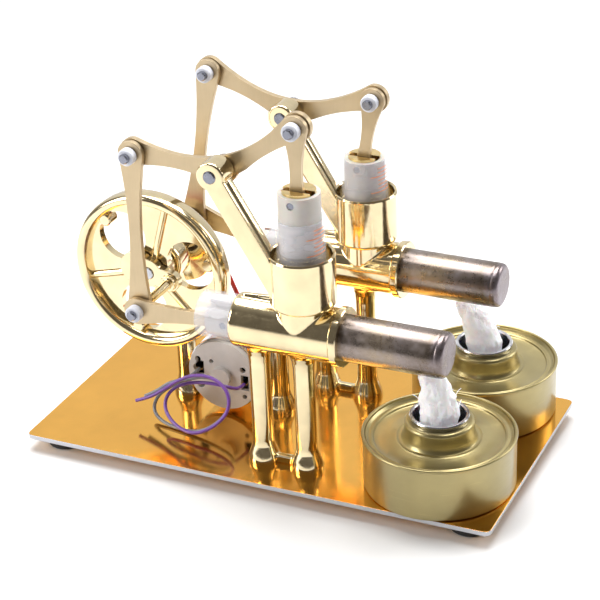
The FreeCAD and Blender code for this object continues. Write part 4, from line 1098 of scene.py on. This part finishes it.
def flat_part(name, outline, y0, y1, edge, holes=()):
    """Flat blank with rounded edges; holes are (x, z, radius)."""
    piece = Piece(name, "links")
    piece.prism(outline, y0, y1)
    thing = piece.object()
    if holes:
        drill = Piece("drill", "links")
        for x, z, radius in holes:
            drill.disc(x, z, radius, y0 - 1, y1 + 1)
        bore(thing, drill)
    round_edges(thing, edge, 3)
    return thing


def pin_with_spacer(piece, place, start, outward, tail):
    """Grey pin end, pale spacer sleeve, and the pin's shank running back to tail."""
    x, z = place
    near = min(start, start + outward * SPACER_LENGTH)
    piece.disc(x, z, SPACER_RADIUS, near, near + SPACER_LENGTH, 1, 0.25, 48)
    tip = start + outward * (SPACER_LENGTH + PIN_END)
    low, high = min(tip, tail), max(tip, tail)
    piece.disc(x, z, PIN_RADIUS, low, high, 0, 0.3, 36)
    return piece


class ENGINE_OT_linkage(bpy.types.Operator):
    """Walking beams, links and their pins with pale spacers"""
    bl_idname = "engine.linkage"
    bl_label = "Beams and links"

    def execute(self, context):
        edge = context.scene.engine_sizes.edge
        for unit in UNITS:
            self.beam(unit, edge)
            self.links(unit, edge)
        return {"FINISHED"}

    def beam(self, unit, edge):
        y0, y1 = (c.y for c in corners("beam_" + unit))
        group = "beam_%s_group" % unit
        blank = flat_part("walking_beam_" + unit, beam_outline(unit), y0, y1, edge,
                          [(PIVOT.x, PIVOT.z, PIVOT_BORE)]
                          + [(*beam_pin(unit, side), PIN_RADIUS) for side in (-1, 1)])
        settle(blank, group, ["beam_" + unit])
        pins = Piece("beam_pins_" + unit, "dark_steel", "spacer")
        front = UNIT_Y[unit] + LINK_FRONT - SIDE_GAP
        for side in (-1, 1):
            pin_with_spacer(pins, beam_pin(unit, side), front, -1, y1)
        settle(pins.object(), group, ["beam_end_pins_" + unit])
        low, high = corners("beam_pivot_pin_" + unit)
        pivot = Piece("pivot_pin_" + unit, "dark_steel", "bright")
        pivot.disc(PIVOT.x, PIVOT.z, PIVOT_RADIUS, low.y, high.y, 0, 0.35, 48)
        pivot.disc(PIVOT.x, PIVOT.z, KEEPER_RADIUS, high.y - KEEPER_THICK, high.y - 0.02, 1, 0.25, 48)
        settle(pivot.object(), "root", ["beam_pivot_pin_" + unit])

    def links(self, unit, edge):
        left, right = beam_pin(unit, -1), beam_pin(unit, 1)
        crank = crank_pin(unit)
        wrist = joint_place("displacer_link_swing_" + unit)
        foot = (POWER_X, corners("power_link_" + unit)[0].z + LINK_SHAPES["power"][1])
        for kind, start, end, holes in (
                ("long", left, crank, [(*left, PIN_BORE)]),
                ("power", right, foot, [(*right, PIN_BORE)]),
                ("displacer", crank, wrist, [(*crank, PIN_RADIUS), (*wrist, WRIST_BORE)])):
            node = "%s_link_%s" % (kind, unit)
            y0, y1 = (c.y for c in corners("long_link_" + unit if kind == "power" else node))
            outline = link_outline(start, end, *LINK_SHAPES[kind])
            blank = flat_part(node + "_flat", outline, y0, y1, edge, holes)
            settle(blank, node + "_group", [node])
        pin = Piece("crank_pin_end_%s_turned" % unit, "dark_steel", "spacer")
        outward = -1 if unit == "front" else 1
        y0, y1 = (c.y for c in corners("displacer_link_" + unit))
        outer, inner = (y0, y1) if unit == "front" else (y1, y0)
        pin_with_spacer(pin, crank, outer, outward, inner)
        settle(pin.object(), "displacer_link_%s_group" % unit, ["crank_pin_end_" + unit])


# ---- crankshaft, wheel, belt ---------------------------------------------------------------------
PULLEY_RADIUS = 11.0
MOTOR_PULLEY_RADIUS = 3.6
BELT_RADIUS = 0.7
BELT_RISE = 0.82           # belt's centreline above the groove's floor
GROOVE_FLANK = 0.9
GROOVE_RADIUS = 0.92


def pulley(name, radius, bore_radius, centre, body, node):
    low, high = corners(node)
    width = high.y - low.y
    rim = radius + GROOVE_FLANK
    piece = Piece(name, "plating")
    groove = arc(radius + BELT_RISE, width / 2, GROOVE_RADIUS, -132, -228, 10)
    profile = [(bore_radius, 0), (rim - 0.2, 0), (rim, 0.2), (rim, 0.35)] + groove
    profile += [(rim, width - 0.35), (rim, width - 0.2), (rim - 0.2, width), (bore_radius, width)]
    piece.lathe(profile, (centre.x, low.y, centre.z), Y_AXIS, 0, ROUND, True)
    settle(piece.object(), body, [node])


def belt_line():
    """Centreline of the open belt: an arc round each pulley joined by two tangents."""
    big, small = PULLEY_RADIUS + BELT_RISE, MOTOR_PULLEY_RADIUS + BELT_RISE
    dx, dz = MOTOR.x - SHAFT.x, MOTOR.z - SHAFT.z
    heading = math.degrees(math.atan2(dz, dx))
    spread = math.degrees(math.acos((big - small) / math.hypot(dx, dz)))
    line = arc(SHAFT.x, SHAFT.z, big, heading + spread, heading + 360 - spread, 60)
    line += arc(MOTOR.x, MOTOR.z, small, heading - spread, heading + spread, 30)
    return line


def sweep_ring(piece, line, y, radius, sides=20, finish=0):
    """Round bar along a closed line of the XZ plane."""
    count = len(line)
    rings = []
    for i in range(count):
        ax, az = line[i - 1]
        bx, bz = line[(i + 1) % count]
        run = math.hypot(bx - ax, bz - az)
        nx, nz = -(bz - az) / run, (bx - ax) / run
        ring = []
        for k in range(sides):
            a = 2 * math.pi * k / sides
            out = radius * math.cos(a)
            ring.append(piece.mesh.verts.new((line[i][0] + nx * out, y + radius * math.sin(a),
                                              line[i][1] + nz * out)))
        rings.append(ring)
    faces = []
    for i in range(count):
        low, high = rings[i], rings[(i + 1) % count]
        for k in range(sides):
            j = (k + 1) % sides
            faces.append(piece.mesh.faces.new((low[k], low[j], high[j], high[k])))
    for face in faces:
        face.smooth = True
        face.material_index = finish
    bmesh.ops.recalc_face_normals(piece.mesh, faces=faces)


WHEEL_RADIUS = 25.8
WHEEL_RIM = 3.8
WHEEL_THICK = 7.3
WHEEL_HOLES = (14.0, 134.0, 254.0)      # degrees above +X
HOLE_RADIUS = 8.0
HOLE_CENTRE = 13.8
RIDGE_TURN = 60            # degrees from an opening to the next ridge
RIDGE_RADIUS = 1.35
RIDGE_START = 4
LUG_RADIUS = 2.0
LUG_INSET = 1.2
WEB_FRONT = 3.0            # from the wheel's front face back to the web
WEB_BACK = 1.7
HUB_BORE = 2.02
HUB_RADIUS = 5.6


def make_flywheel():
    """Rounded rim, drilled web with half-round spoke ridges, hub and the three lugs inside the rim."""
    low, high = corners("flywheel")
    centre = (SHAFT.x, SHAFT.z)
    inner = WHEEL_RADIUS - WHEEL_RIM
    web_front, web_back = low.y + WEB_FRONT, low.y + WHEEL_THICK - WEB_BACK
    web = Piece("flywheel_web", "plating")
    web.disc(SHAFT.x, SHAFT.z, inner + 0.4, web_front, web_back, 0, 0.2, ROUND)
    thing = web.object()
    drill = Piece("drill", "plating")
    for angle in WHEEL_HOLES:
        x, z = turn_point(HOLE_CENTRE, 0, centre, angle)
        drill.disc(x, z, HOLE_RADIUS, low.y - 1, high.y + 1, 0, 0.1, 72)
    bore(thing, drill)
    bake_modifiers(round_edges(thing, 0.7, 4))
    wheel = Piece("flywheel_rim", "plating")
    crown = [(r, h * 0.9) for r, h in arc(inner + 1.9, 1.75, 1.75, 190, 350, 14)]
    tail = arc(inner + 1.9, WHEEL_THICK - 1.4, 1.4, 10, 170, 10)
    place = (SHAFT.x, low.y, SHAFT.z)
    wheel.lathe([(inner, 2.6)] + crown + [(WHEEL_RADIUS, 2.4), (WHEEL_RADIUS, WHEEL_THICK - 2.2)] + tail
                + [(inner, WHEEL_THICK - 2.2)], place, Y_AXIS, 0, 160, True)
    run = high.y - low.y
    wheel.lathe([(HUB_BORE, 3.0), (4.6, 3.0), (5.3, 3.4), (HUB_RADIUS, 4.2), (HUB_RADIUS, run - 0.4),
                 (5.2, run), (HUB_BORE, run)], place, Y_AXIS, 0, 72, True)
    ridge = inner - RIDGE_START + 0.4
    for angle in WHEEL_HOLES:
        turned = math.radians(angle + RIDGE_TURN)
        direction = Vector((math.cos(turned), 0, math.sin(turned)))
        start = Vector((SHAFT.x, web_front + 0.5, SHAFT.z)) + direction * RIDGE_START
        wheel.lathe([(0, 0), (RIDGE_RADIUS, 0), (RIDGE_RADIUS, ridge), (0, ridge)], start, direction, 0, 32)
        x, z = turn_point(inner - LUG_INSET, 0, centre, angle)
        wheel.disc(x, z, LUG_RADIUS, low.y + LUG_INSET, low.y + WHEEL_THICK - LUG_INSET, 0, 0.4, 32)
    join_into(thing, wheel.object())
    thing.name = "flywheel_cast"
    settle(thing, "crank", ["flywheel"])


class ENGINE_OT_crank(bpy.types.Operator):
    """Crankshaft with its webs, the flywheel, both pulleys and the drive belt"""
    bl_idname = "engine.crank"
    bl_label = "Crankshaft, flywheel and belt"

    def execute(self, context):
        make_flywheel()
        refined("crank_webs", "plating", 0.5, "crank", "steel_web", MERGE_ANGLE)
        refined("crankshaft", "steel", 0.3, "crank", "steel", MERGE_ANGLE)
        pulley("shaft_pulley_turned", PULLEY_RADIUS, 2.0, SHAFT, "crank", "shaft_pulley")
        pulley("motor_pulley_turned", MOTOR_PULLEY_RADIUS, 1.0, MOTOR, "generator_rotor", "motor_pulley")
        belt = Piece("drive_belt_round", "belt")
        sweep_ring(belt, belt_line(), middle("drive_belt").y, BELT_RADIUS)
        settle(belt.object(), "root", ["drive_belt"])
        return {"FINISHED"}


# ---- generator -----------------------------------------------------------------------------------
# node, finish, broken edge, body, slot
GENERATOR_PARTS = (
    ("motor_end_cap", "motor_cap", 0.25, "root", "cap_plastic"),
    ("motor_terminals", "brass", 0.06, "root", "brass"),
    ("motor_bracket", "steel", 0.2, "root", "steel"),
    ("motor_rotor", "steel", 0.2, "generator_rotor", "steel"),
)


class ENGINE_OT_generator(bpy.types.Operator):
    """Generator can with its end cap, terminals, bracket and shaft, and the shaft's bearings"""
    bl_idname = "engine.generator"
    bl_label = "Generator"

    def execute(self, context):
        low, high = corners("motor_can")
        radius = (high.x - low.x) / 2
        run = high.y - low.y
        can = Piece("motor_can_drawn", "bright")
        can.lathe([(radius - 0.75, 0.0), (radius - 0.25, 0.0), (radius, 0.25), (radius, run - 1.2),
                   (radius - 0.35, run - 0.35), (radius - 1.2, run), (1.2, run), (1.2, run - 0.8),
                   (radius - 1.4, run - 0.8), (radius - 0.8, run - 1.5)], (MOTOR.x, low.y, MOTOR.z), Y_AXIS,
                  0, ROUND, True)
        settle(can.object(), "root", ["motor_can"])
        for part in GENERATOR_PARTS:
            refined(*part, MERGE_ANGLE)
        self.bearings()
        return {"FINISHED"}

    def bearings(self):
        low, high = corners("shaft_bearings")
        piece = Piece("ball_races", "bright", "dark")
        for start, out in ((low.y, 1), (high.y, -1)):
            direction = Y_AXIS * out
            place = (SHAFT.x, start, SHAFT.z)
            piece.lathe([(4.2, 0.15), (4.3, 0), (4.85, 0), (5.0, 0.2), (5.0, 2.3), (4.85, 2.5), (4.2, 2.5)],
                        place, direction, 0, 64, True)
            piece.lathe([(2.05, 0.1), (2.15, 0), (2.75, 0), (2.85, 0.1), (2.85, 2.5), (2.05, 2.5)],
                        place, direction, 0, 64, True)
            # the flat dark ring between the races is painted shade standing in for the bearing's interior
            piece.lathe([(2.85, 0.3), (4.2, 0.3), (4.2, 2.3), (2.85, 2.3)], place, direction, 1, 64, True)
        settle(piece.object(), "root", ["shaft_bearings"])


# ---- burners -------------------------------------------------------------------------------------
CAN_HEIGHT = 17.2
LID_DROP = 2.0
HOLDER_RADIUS = 8.3
HOLDER_RISE = 7.9
WICK_RISE = 13.6
WICK_LEAN = {"front": -2.4, "rear": -6.3}
WICK_FOOT = 5.6
WICK_SUNK = 6.0            # length of the wick inside its holder
FIRST_WICK_SEED = 3
STRANDS_TO_DENSITY = 500.0
FIBRE_BEND = 2.6
FIBRE_RADIUS = 0.1


def tin_profile(radius):
    """Outside of a pressed can with a rolled rim, then back down inside to the lid."""
    bead = arc(radius - 0.15, CAN_HEIGHT - 0.55, 0.5, -60, 175, 12)
    return [(0, 0.35), (radius - 2.2, 0.35), (radius - 1.9, 0), (radius - 0.9, 0), (radius - 0.35, 0.3),
            (radius, 1.0), (radius, CAN_HEIGHT - 1.3)] + bead + [(radius - 0.65, CAN_HEIGHT - 1.4),
            (radius - 0.65, 1.2), (radius - 1.4, 0.6), (0, 0.6)]


def lid_profile(radius):
    floor = CAN_HEIGHT - LID_DROP
    edge = radius - 0.7
    steps = [(edge, CAN_HEIGHT - 0.75), (edge - 0.25, CAN_HEIGHT - 0.6), (edge - 0.5, CAN_HEIGHT - 0.8),
             (edge - 0.7, floor + 0.9), (edge - 1.1, floor + 0.62), (20.2, floor + 0.6), (19.8, floor + 0.75),
             (19.4, floor + 0.6), (19.15, floor + 0.15), (18.8, floor), (13.0, floor), (12.5, floor + 0.18),
             (12.0, floor), (11.7, floor)]
    neck = [(11.25, floor + 0.15), (10.8, floor + 0.7), (10.45, floor + 2.0), (10.25, floor + 3.9)]
    shoulder = arc(9.25, floor + 5.0, 1.05, 0, 90, 8) + [(HOLDER_RADIUS + 0.03, floor + 6.1)]
    under = [(HOLDER_RADIUS + 0.03, floor + 5.4), (9.2, floor + 4.6), (10.7, floor - 0.6),
             (edge - 0.5, floor - 0.6), (edge, floor + 0.2)]
    return steps + neck + shoulder + under


class ENGINE_OT_burners(bpy.types.Operator):
    """Spirit burners: lacquered tins, stepped lids, wick holders and loose cotton wicks"""
    bl_idname = "engine.burners"
    bl_label = "Burners"

    def execute(self, context):
        sizes = context.scene.engine_sizes
        tree = wick_tree()
        for seed, unit in enumerate(UNITS, FIRST_WICK_SEED):
            centre = middle("wick_holder_" + unit)
            base = Vector((centre.x, centre.y, PLATE_TOP))
            low, high = corners("burner_can_" + unit)
            radius = (high.x - low.x) / 2 - 0.3
            group = "burner_%s_group" % unit
            can = Piece("burner_tin_" + unit, "tin")
            can.lathe(tin_profile(radius), base, Z_AXIS, 0, 160)
            settle(can.object(), group, ["burner_can_" + unit])
            lid = Piece("burner_lid_%s_pressed" % unit, "tin")
            lid.lathe(lid_profile(radius), base, Z_AXIS, 0, 160, True)
            settle(lid.object(), group, ["burner_lid_" + unit])
            self.holder(unit, base, group)
            self.wick(tree, unit, base, group, sizes.wick_strands, seed)
        return {"FINISHED"}

    def holder(self, unit, base, group):
        top = CAN_HEIGHT - LID_DROP + HOLDER_RISE
        r = HOLDER_RADIUS
        ring = Piece("wick_ring_" + unit, "bright", "dark")
        ring.lathe([(r - 0.6, top - 15.5), (r, top - 15.5), (r, top - 1.5), (r + 0.25, top - 1.0),
                    (r + 0.5, top - 0.7), (r + 0.55, top - 0.35), (r + 0.35, top - 0.05), (r, top),
                    (r - 0.4, top - 0.1), (r - 0.6, top - 0.4)], base, Z_AXIS, 0, ROUND, True)
        settle(ring.object(), group, ["wick_holder_" + unit])

    def wick(self, tree, unit, base, group, strands, seed):
        foot = base + Vector((0, 0, CAN_HEIGHT - LID_DROP + HOLDER_RISE))
        values = {"Strands": strands, "Seed": seed, "Rise": WICK_RISE * MM, "Lean": WICK_LEAN[unit] * MM,
                  "Foot radius": WICK_FOOT * MM, "Foot": foot * MM}
        thing = run_tree("wick_%s_cotton" % unit, tree, values)
        settle(thing, group, ["wick_" + unit])


def wick_tree():
    """A loose cotton tuft: a column with a ragged fibrous skin, and stray strands on it."""
    tree = node_group("cotton_wick", [("Strands", "NodeSocketInt", 150),
                                      ("Seed", "NodeSocketInt", 0),
                                      ("Rise", "NodeSocketFloat", 0.0136),
                                      ("Lean", "NodeSocketFloat", -0.0024),
                                      ("Foot radius", "NodeSocketFloat", 0.006),
                                      ("Foot", "NodeSocketVector", (0, 0, 0))])
    group = tree.nodes.new("NodeGroupInput")
    strands, seed, rise, lean, foot_radius, foot = (group.outputs[i] for i in range(6))

    def combine(kind, operation, values):
        made = add(tree, kind, {"operation": operation})
        for value, socket in zip(values, made.inputs):
            if isinstance(value, bpy.types.NodeSocket):
                tree.links.new(value, socket)
            else:
                socket.default_value = value
        return made.outputs[0]

    def maths(operation, *values):
        return combine("ShaderNodeMath", operation, values)

    def vector(operation, *values):
        return combine("ShaderNodeVectorMath", operation, values)

    def combined(x, y, z):
        return add(tree, "ShaderNodeCombineXYZ", X=x, Y=y, Z=z).outputs[0]

    def position():
        return tree.nodes.new("GeometryNodeInputPosition").outputs[0]

    ball = add(tree, "GeometryNodeMeshUVSphere", Segments=128, Rings=96, Radius=1.0)
    parts = add(tree, "ShaderNodeSeparateXYZ", Vector=position())
    x, y, z = parts.outputs
    spread = maths("SQRT", maths("ADD", maths("MULTIPLY", x, x), maths("MULTIPLY", y, y)))
    column = maths("POWER", maths("MAXIMUM", spread, 0.02), -0.6)
    height = maths("MULTIPLY", maths("ADD", z, 1.0), 0.5)
    taper = maths("MULTIPLY", foot_radius, maths("SUBTRACT", 1.12, maths("MULTIPLY", height, 0.36)))
    wide = maths("MULTIPLY", column, taper)
    sunk = WICK_SUNK * MM
    level = maths("SUBTRACT", maths("MULTIPLY", height, maths("ADD", rise, sunk)), sunk)
    share = maths("MAXIMUM", maths("DIVIDE", level, rise), 0.0)
    shift = maths("MULTIPLY", lean, maths("POWER", share, 1.4))
    body = combined(maths("ADD", maths("MULTIPLY", x, wide), shift), maths("MULTIPLY", y, wide), level)
    shaped = add(tree, "GeometryNodeSetPosition", Geometry=ball.outputs[0], Position=body)
    streak_at = vector("MULTIPLY", position(), (1.0, 1.0, 0.16))
    streaks = add(tree, "ShaderNodeTexNoise", {"noise_dimensions": "4D"}, Vector=streak_at, Scale=620.0,
                  Detail=4.0, W=seed)
    lumps = add(tree, "ShaderNodeTexNoise", {"noise_dimensions": "4D"}, Vector=position(), Scale=230.0,
                Detail=2.0, W=seed)
    normal = tree.nodes.new("GeometryNodeInputNormal").outputs[0]
    ragged = maths("ADD", maths("MULTIPLY", maths("SUBTRACT", streaks.outputs[0], 0.52), 0.0014),
                   maths("MULTIPLY", maths("SUBTRACT", lumps.outputs[0], 0.5), 0.0032))
    push = add(tree, "ShaderNodeVectorMath", {"operation": "SCALE"}, Vector=normal, Scale=ragged)
    fluffy = add(tree, "GeometryNodeSetPosition", Geometry=shaped.outputs[0], Offset=push.outputs[0])
    stray = add(tree, "GeometryNodeDistributePointsOnFaces", Mesh=fluffy.outputs[0],
                Density=maths("MULTIPLY", strands, STRANDS_TO_DENSITY), Seed=seed)
    fibre = add(tree, "GeometryNodeCurveArc", Resolution=12, Radius=FIBRE_BEND * MM, Start_Angle=0.0,
                Sweep_Angle=1.5)
    section = add(tree, "GeometryNodeCurvePrimitiveCircle", Resolution=5, Radius=FIBRE_RADIUS * MM)
    thread = add(tree, "GeometryNodeCurveToMesh", Curve=fibre.outputs[0], Profile_Curve=section.outputs[0],
                 Fill_Caps=True)
    centred = add(tree, "GeometryNodeTransform", Geometry=thread.outputs[0],
                  Translation=(-FIBRE_BEND * MM, 0.0, 0.0), Rotation=(math.radians(90), 0.0, 0.0))
    turn = add(tree, "FunctionNodeRandomValue", {"data_type": "FLOAT_VECTOR"}, Seed=seed)
    turn.inputs[0].default_value = (-0.25, -0.25, -3.14)
    turn.inputs[1].default_value = (0.25, 0.25, 3.14)
    placed = add(tree, "GeometryNodeInstanceOnPoints", Points=stray.outputs[0], Instance=centred.outputs[0],
                 Rotation=turn.outputs[0])
    above = add(tree, "FunctionNodeCompare", {"data_type": "FLOAT", "operation": "LESS_THAN"})
    placed_z = add(tree, "ShaderNodeSeparateXYZ", Vector=position()).outputs[2]
    tree.links.new(placed_z, above.inputs[0])
    above.inputs[1].default_value = 0.0
    trimmed = add(tree, "GeometryNodeDeleteGeometry", {"domain": "INSTANCE"}, Geometry=placed.outputs[0],
                  Selection=above.outputs[0])
    both = tree.nodes.new("GeometryNodeJoinGeometry")
    tree.links.new(fluffy.outputs[0], both.inputs[0])
    tree.links.new(trimmed.outputs[0], both.inputs[0])
    stood = add(tree, "GeometryNodeTransform", Geometry=both.outputs[0], Translation=foot)
    close_tree(tree, stood.outputs[0], "cotton")
    return tree


# ---- wires ---------------------------------------------------------------------------------------
PURPLE_ROUTE = [(-16.3, -10.65, 17.5), (-16.3, -14.1, 17.5), (-18.6, -16.9, 19.4), (-24.2, -17.5, 20.1),
                (-30.8, -17.4, 19.0), (-36.0, -18.6, 17.2), (-38.8, -20.6, 13.9), (-37.8, -23.4, 10.5),
                (-32.6, -26.6, 7.9), (-25.4, -28.7, 7.5), (-19.6, -26.6, 9.9), (-15.4, -23.6, 14.6),
                (-16.2, -21.0, 20.0), (-21.2, -19.6, 23.3), (-27.6, -19.6, 23.6), (-33.2, -20.8, 21.4),
                (-38.7, -21.3, 17.0), (-43.6, -22.6, 13.6), (-48.1, -22.9, 11.9)]
GREY_ROUTE = [(-31.7, -10.65, 20.1), (-31.7, -14.1, 20.1), (-34.2, -17.0, 18.6), (-39.4, -16.8, 15.3),
              (-43.4, -18.2, 11.8), (-43.6, -20.8, 8.0), (-38.8, -23.6, 6.3), (-32.0, -25.0, 6.1),
              (-25.6, -25.6, 6.5), (-20.2, -23.9, 9.2), (-16.6, -21.0, 13.6), (-17.0, -18.9, 18.2),
              (-21.6, -17.9, 21.9), (-27.0, -17.6, 21.9), (-32.4, -18.7, 20.2), (-37.4, -19.5, 18.9),
              (-42.0, -20.6, 15.1), (-45.9, -20.9, 12.9)]


def make_wire(name, route, finish, diameter):
    """Round insulated wire as a smooth curve through its route."""
    data = bpy.data.curves.new(name, "CURVE")
    data.dimensions = "3D"
    data.bevel_depth = diameter / 2 * MM
    data.bevel_resolution = 6
    data.use_fill_caps = True
    line = data.splines.new("NURBS")
    line.points.add(len(route) - 1)
    for point, place in zip(line.points, route):
        point.co = (*(Vector(place) * MM), 1.0)
    line.order_u = 3
    line.use_endpoint_u = True
    line.resolution_u = 10
    data.materials.append(FINISHES[finish])
    wire = bpy.data.objects.new(name, data)
    bpy.context.scene.collection.objects.link(wire)
    settle(wire, "root", ["wire_" + finish])


class ENGINE_OT_wires(bpy.types.Operator):
    """Two thin insulated wires from the generator's terminals"""
    bl_idname = "engine.wires"
    bl_label = "Generator wires"

    def execute(self, context):
        diameter = context.scene.engine_sizes.wire
        make_wire("purple_wire", PURPLE_ROUTE, "purple", diameter)
        make_wire("grey_wire", GREY_ROUTE, "grey", diameter)
        return {"FINISHED"}


# ---- stage ---------------------------------------------------------------------------------------
CAMERA_PLACE = Vector((222.6, -465.0, 307.8))
CAMERA_AZIMUTH = 24.25
CAMERA_ELEVATION = 27.44
CAMERA_ROLL = -1.83
CAMERA_LENS = 113.8
CAMERA_SHIFT = (-0.0705, 0.0197)
FLOOR_HALF = 3000.0
BACKDROP_STRENGTH = 0.85
BACKDROP_WAY = (-0.35, 0.85, 0.35)
BACKDROP_STOPS = [(0.0, (0.16, 0.15, 0.14)), (0.3, (0.34, 0.33, 0.32)), (0.47, (0.44, 0.44, 0.44)),
                  (0.50, (0.03, 0.03, 0.03)), (0.55, (0.03, 0.03, 0.03)), (0.58, (0.62, 0.62, 0.63)),
                  (0.85, (0.95, 0.96, 0.98)), (1.0, (1.0, 1.0, 1.0))]


LAMP_AIM = (0, 0, 40)
# name, place, width and height in millimetres, power in watts
SOFT_BOXES = (
    ("overhead", (-60, 120, 620), (520, 420), 5.2),
    ("left_front", (-520, -420, 330), (260, 420), 3.0),
    ("right_back", (460, 420, 330), (260, 360), 1.6),
)


def soft_box(name, place, size, power):
    data = bpy.data.lights.new(name, "AREA")
    data.shape = "RECTANGLE"
    data.size, data.size_y = size[0] * MM, size[1] * MM
    data.energy = power
    lamp = bpy.data.objects.new(name, data)
    lamp.location = Vector(place) * MM
    lamp.rotation_euler = (Vector(LAMP_AIM) - Vector(place)).to_track_quat("-Z", "Y").to_euler()
    bpy.context.scene.collection.objects.link(lamp)


class ENGINE_OT_stage(bpy.types.Operator):
    """Camera, plain pale floor and soft studio light"""
    bl_idname = "engine.stage"
    bl_label = "Camera, floor and light"

    def execute(self, context):
        self.camera(context.scene)
        self.floor()
        self.world(context.scene)
        for lamp in SOFT_BOXES:
            soft_box(*lamp)
        return {"FINISHED"}

    def camera(self, scene):
        data = bpy.data.cameras.new("view")
        data.lens = CAMERA_LENS
        data.sensor_width = 36.0
        data.clip_start = 0.01
        data.clip_end = 20.0
        data.dof.use_dof = False
        data.shift_x, data.shift_y = CAMERA_SHIFT
        a, e, roll = (math.radians(v) for v in (CAMERA_AZIMUTH, CAMERA_ELEVATION, CAMERA_ROLL))
        back = Vector((math.sin(a) * math.cos(e), -math.cos(a) * math.cos(e), math.sin(e)))
        right = Vector((math.cos(a), math.sin(a), 0))
        up = back.cross(right)
        tilted_right = right * math.cos(roll) + up * math.sin(roll)
        tilted_up = up * math.cos(roll) - right * math.sin(roll)
        turn = Matrix((tilted_right, tilted_up, back)).transposed().to_4x4()
        camera = bpy.data.objects.new("view", data)
        camera.matrix_world = Matrix.Translation(CAMERA_PLACE * MM) @ turn
        scene.collection.objects.link(camera)
        scene.camera = camera

    def floor(self):
        data = bpy.data.meshes.new("floor")
        half = FLOOR_HALF * MM
        data.from_pydata([(-half, -half, 0), (half, -half, 0), (half, half, 0), (-half, half, 0)], [],
                         [(0, 1, 2, 3)])
        data.materials.append(plain_floor())
        floor = bpy.data.objects.new("floor", data)
        bpy.context.scene.collection.objects.link(floor)

    def world(self, scene):
        """Pale surround that is brightest low behind the object and dim overhead and in front."""
        world = bpy.data.worlds.new("studio")
        world.use_nodes = True
        tree = world.node_tree
        place = tree.nodes.new("ShaderNodeTexCoord")
        aim = tree.nodes.new("ShaderNodeVectorMath")
        aim.operation = "DOT_PRODUCT"
        aim.inputs[1].default_value = Vector(BACKDROP_WAY).normalized()
        tree.links.new(place.outputs["Generated"], aim.inputs[0])
        ramp = tree.nodes.new("ShaderNodeValToRGB")
        Shader.set_stops(ramp.color_ramp, BACKDROP_STOPS)
        tree.links.new(aim.outputs["Value"], ramp.inputs["Fac"])
        background = tree.nodes["Background"]
        tree.links.new(ramp.outputs["Color"], background.inputs["Color"])
        background.inputs["Strength"].default_value = BACKDROP_STRENGTH
        scene.world = world
        scene.view_settings.view_transform = "Standard"
        scene.view_settings.look = "None"


# ---- add-on --------------------------------------------------------------------------------------
STEPS = (ENGINE_OT_stage, ENGINE_OT_wires, ENGINE_OT_base, ENGINE_OT_castings, ENGINE_OT_barrels,
         ENGINE_OT_pistons, ENGINE_OT_linkage, ENGINE_OT_crank, ENGINE_OT_generator, ENGINE_OT_burners)


class ENGINE_PT_panel(bpy.types.Panel):
    """Sizes, colours and steps of the hot-air engine"""
    bl_idname = "ENGINE_PT_panel"
    bl_label = "Hot-air engine"
    bl_space_type = "VIEW_3D"
    bl_region_type = "UI"
    bl_category = "Hot-air engine"

    def draw(self, context):
        scene = context.scene
        for group in (scene.engine_sizes, scene.engine_colours):
            for name in group.__class__.__annotations__:
                self.layout.prop(group, name)
        for step in STEPS:
            self.layout.operator(step.bl_idname)


CLASSES = (EngineSizes, EngineColours, *STEPS, ENGINE_PT_panel)


def register():
    for cls in CLASSES:
        bpy.utils.register_class(cls)
    bpy.types.Scene.engine_sizes = PointerProperty(type=EngineSizes)
    bpy.types.Scene.engine_colours = PointerProperty(type=EngineColours)


def unregister():
    del bpy.types.Scene.engine_colours
    del bpy.types.Scene.engine_sizes
    for cls in reversed(CLASSES):
        bpy.utils.unregister_class(cls)


def main():
    register()
    make_finishes(bpy.context.scene.engine_colours)
    for step in STEPS:
        group, name = step.bl_idname.split(".")
        getattr(getattr(bpy.ops, group), name)()


if __name__ == "__main__":
    main()
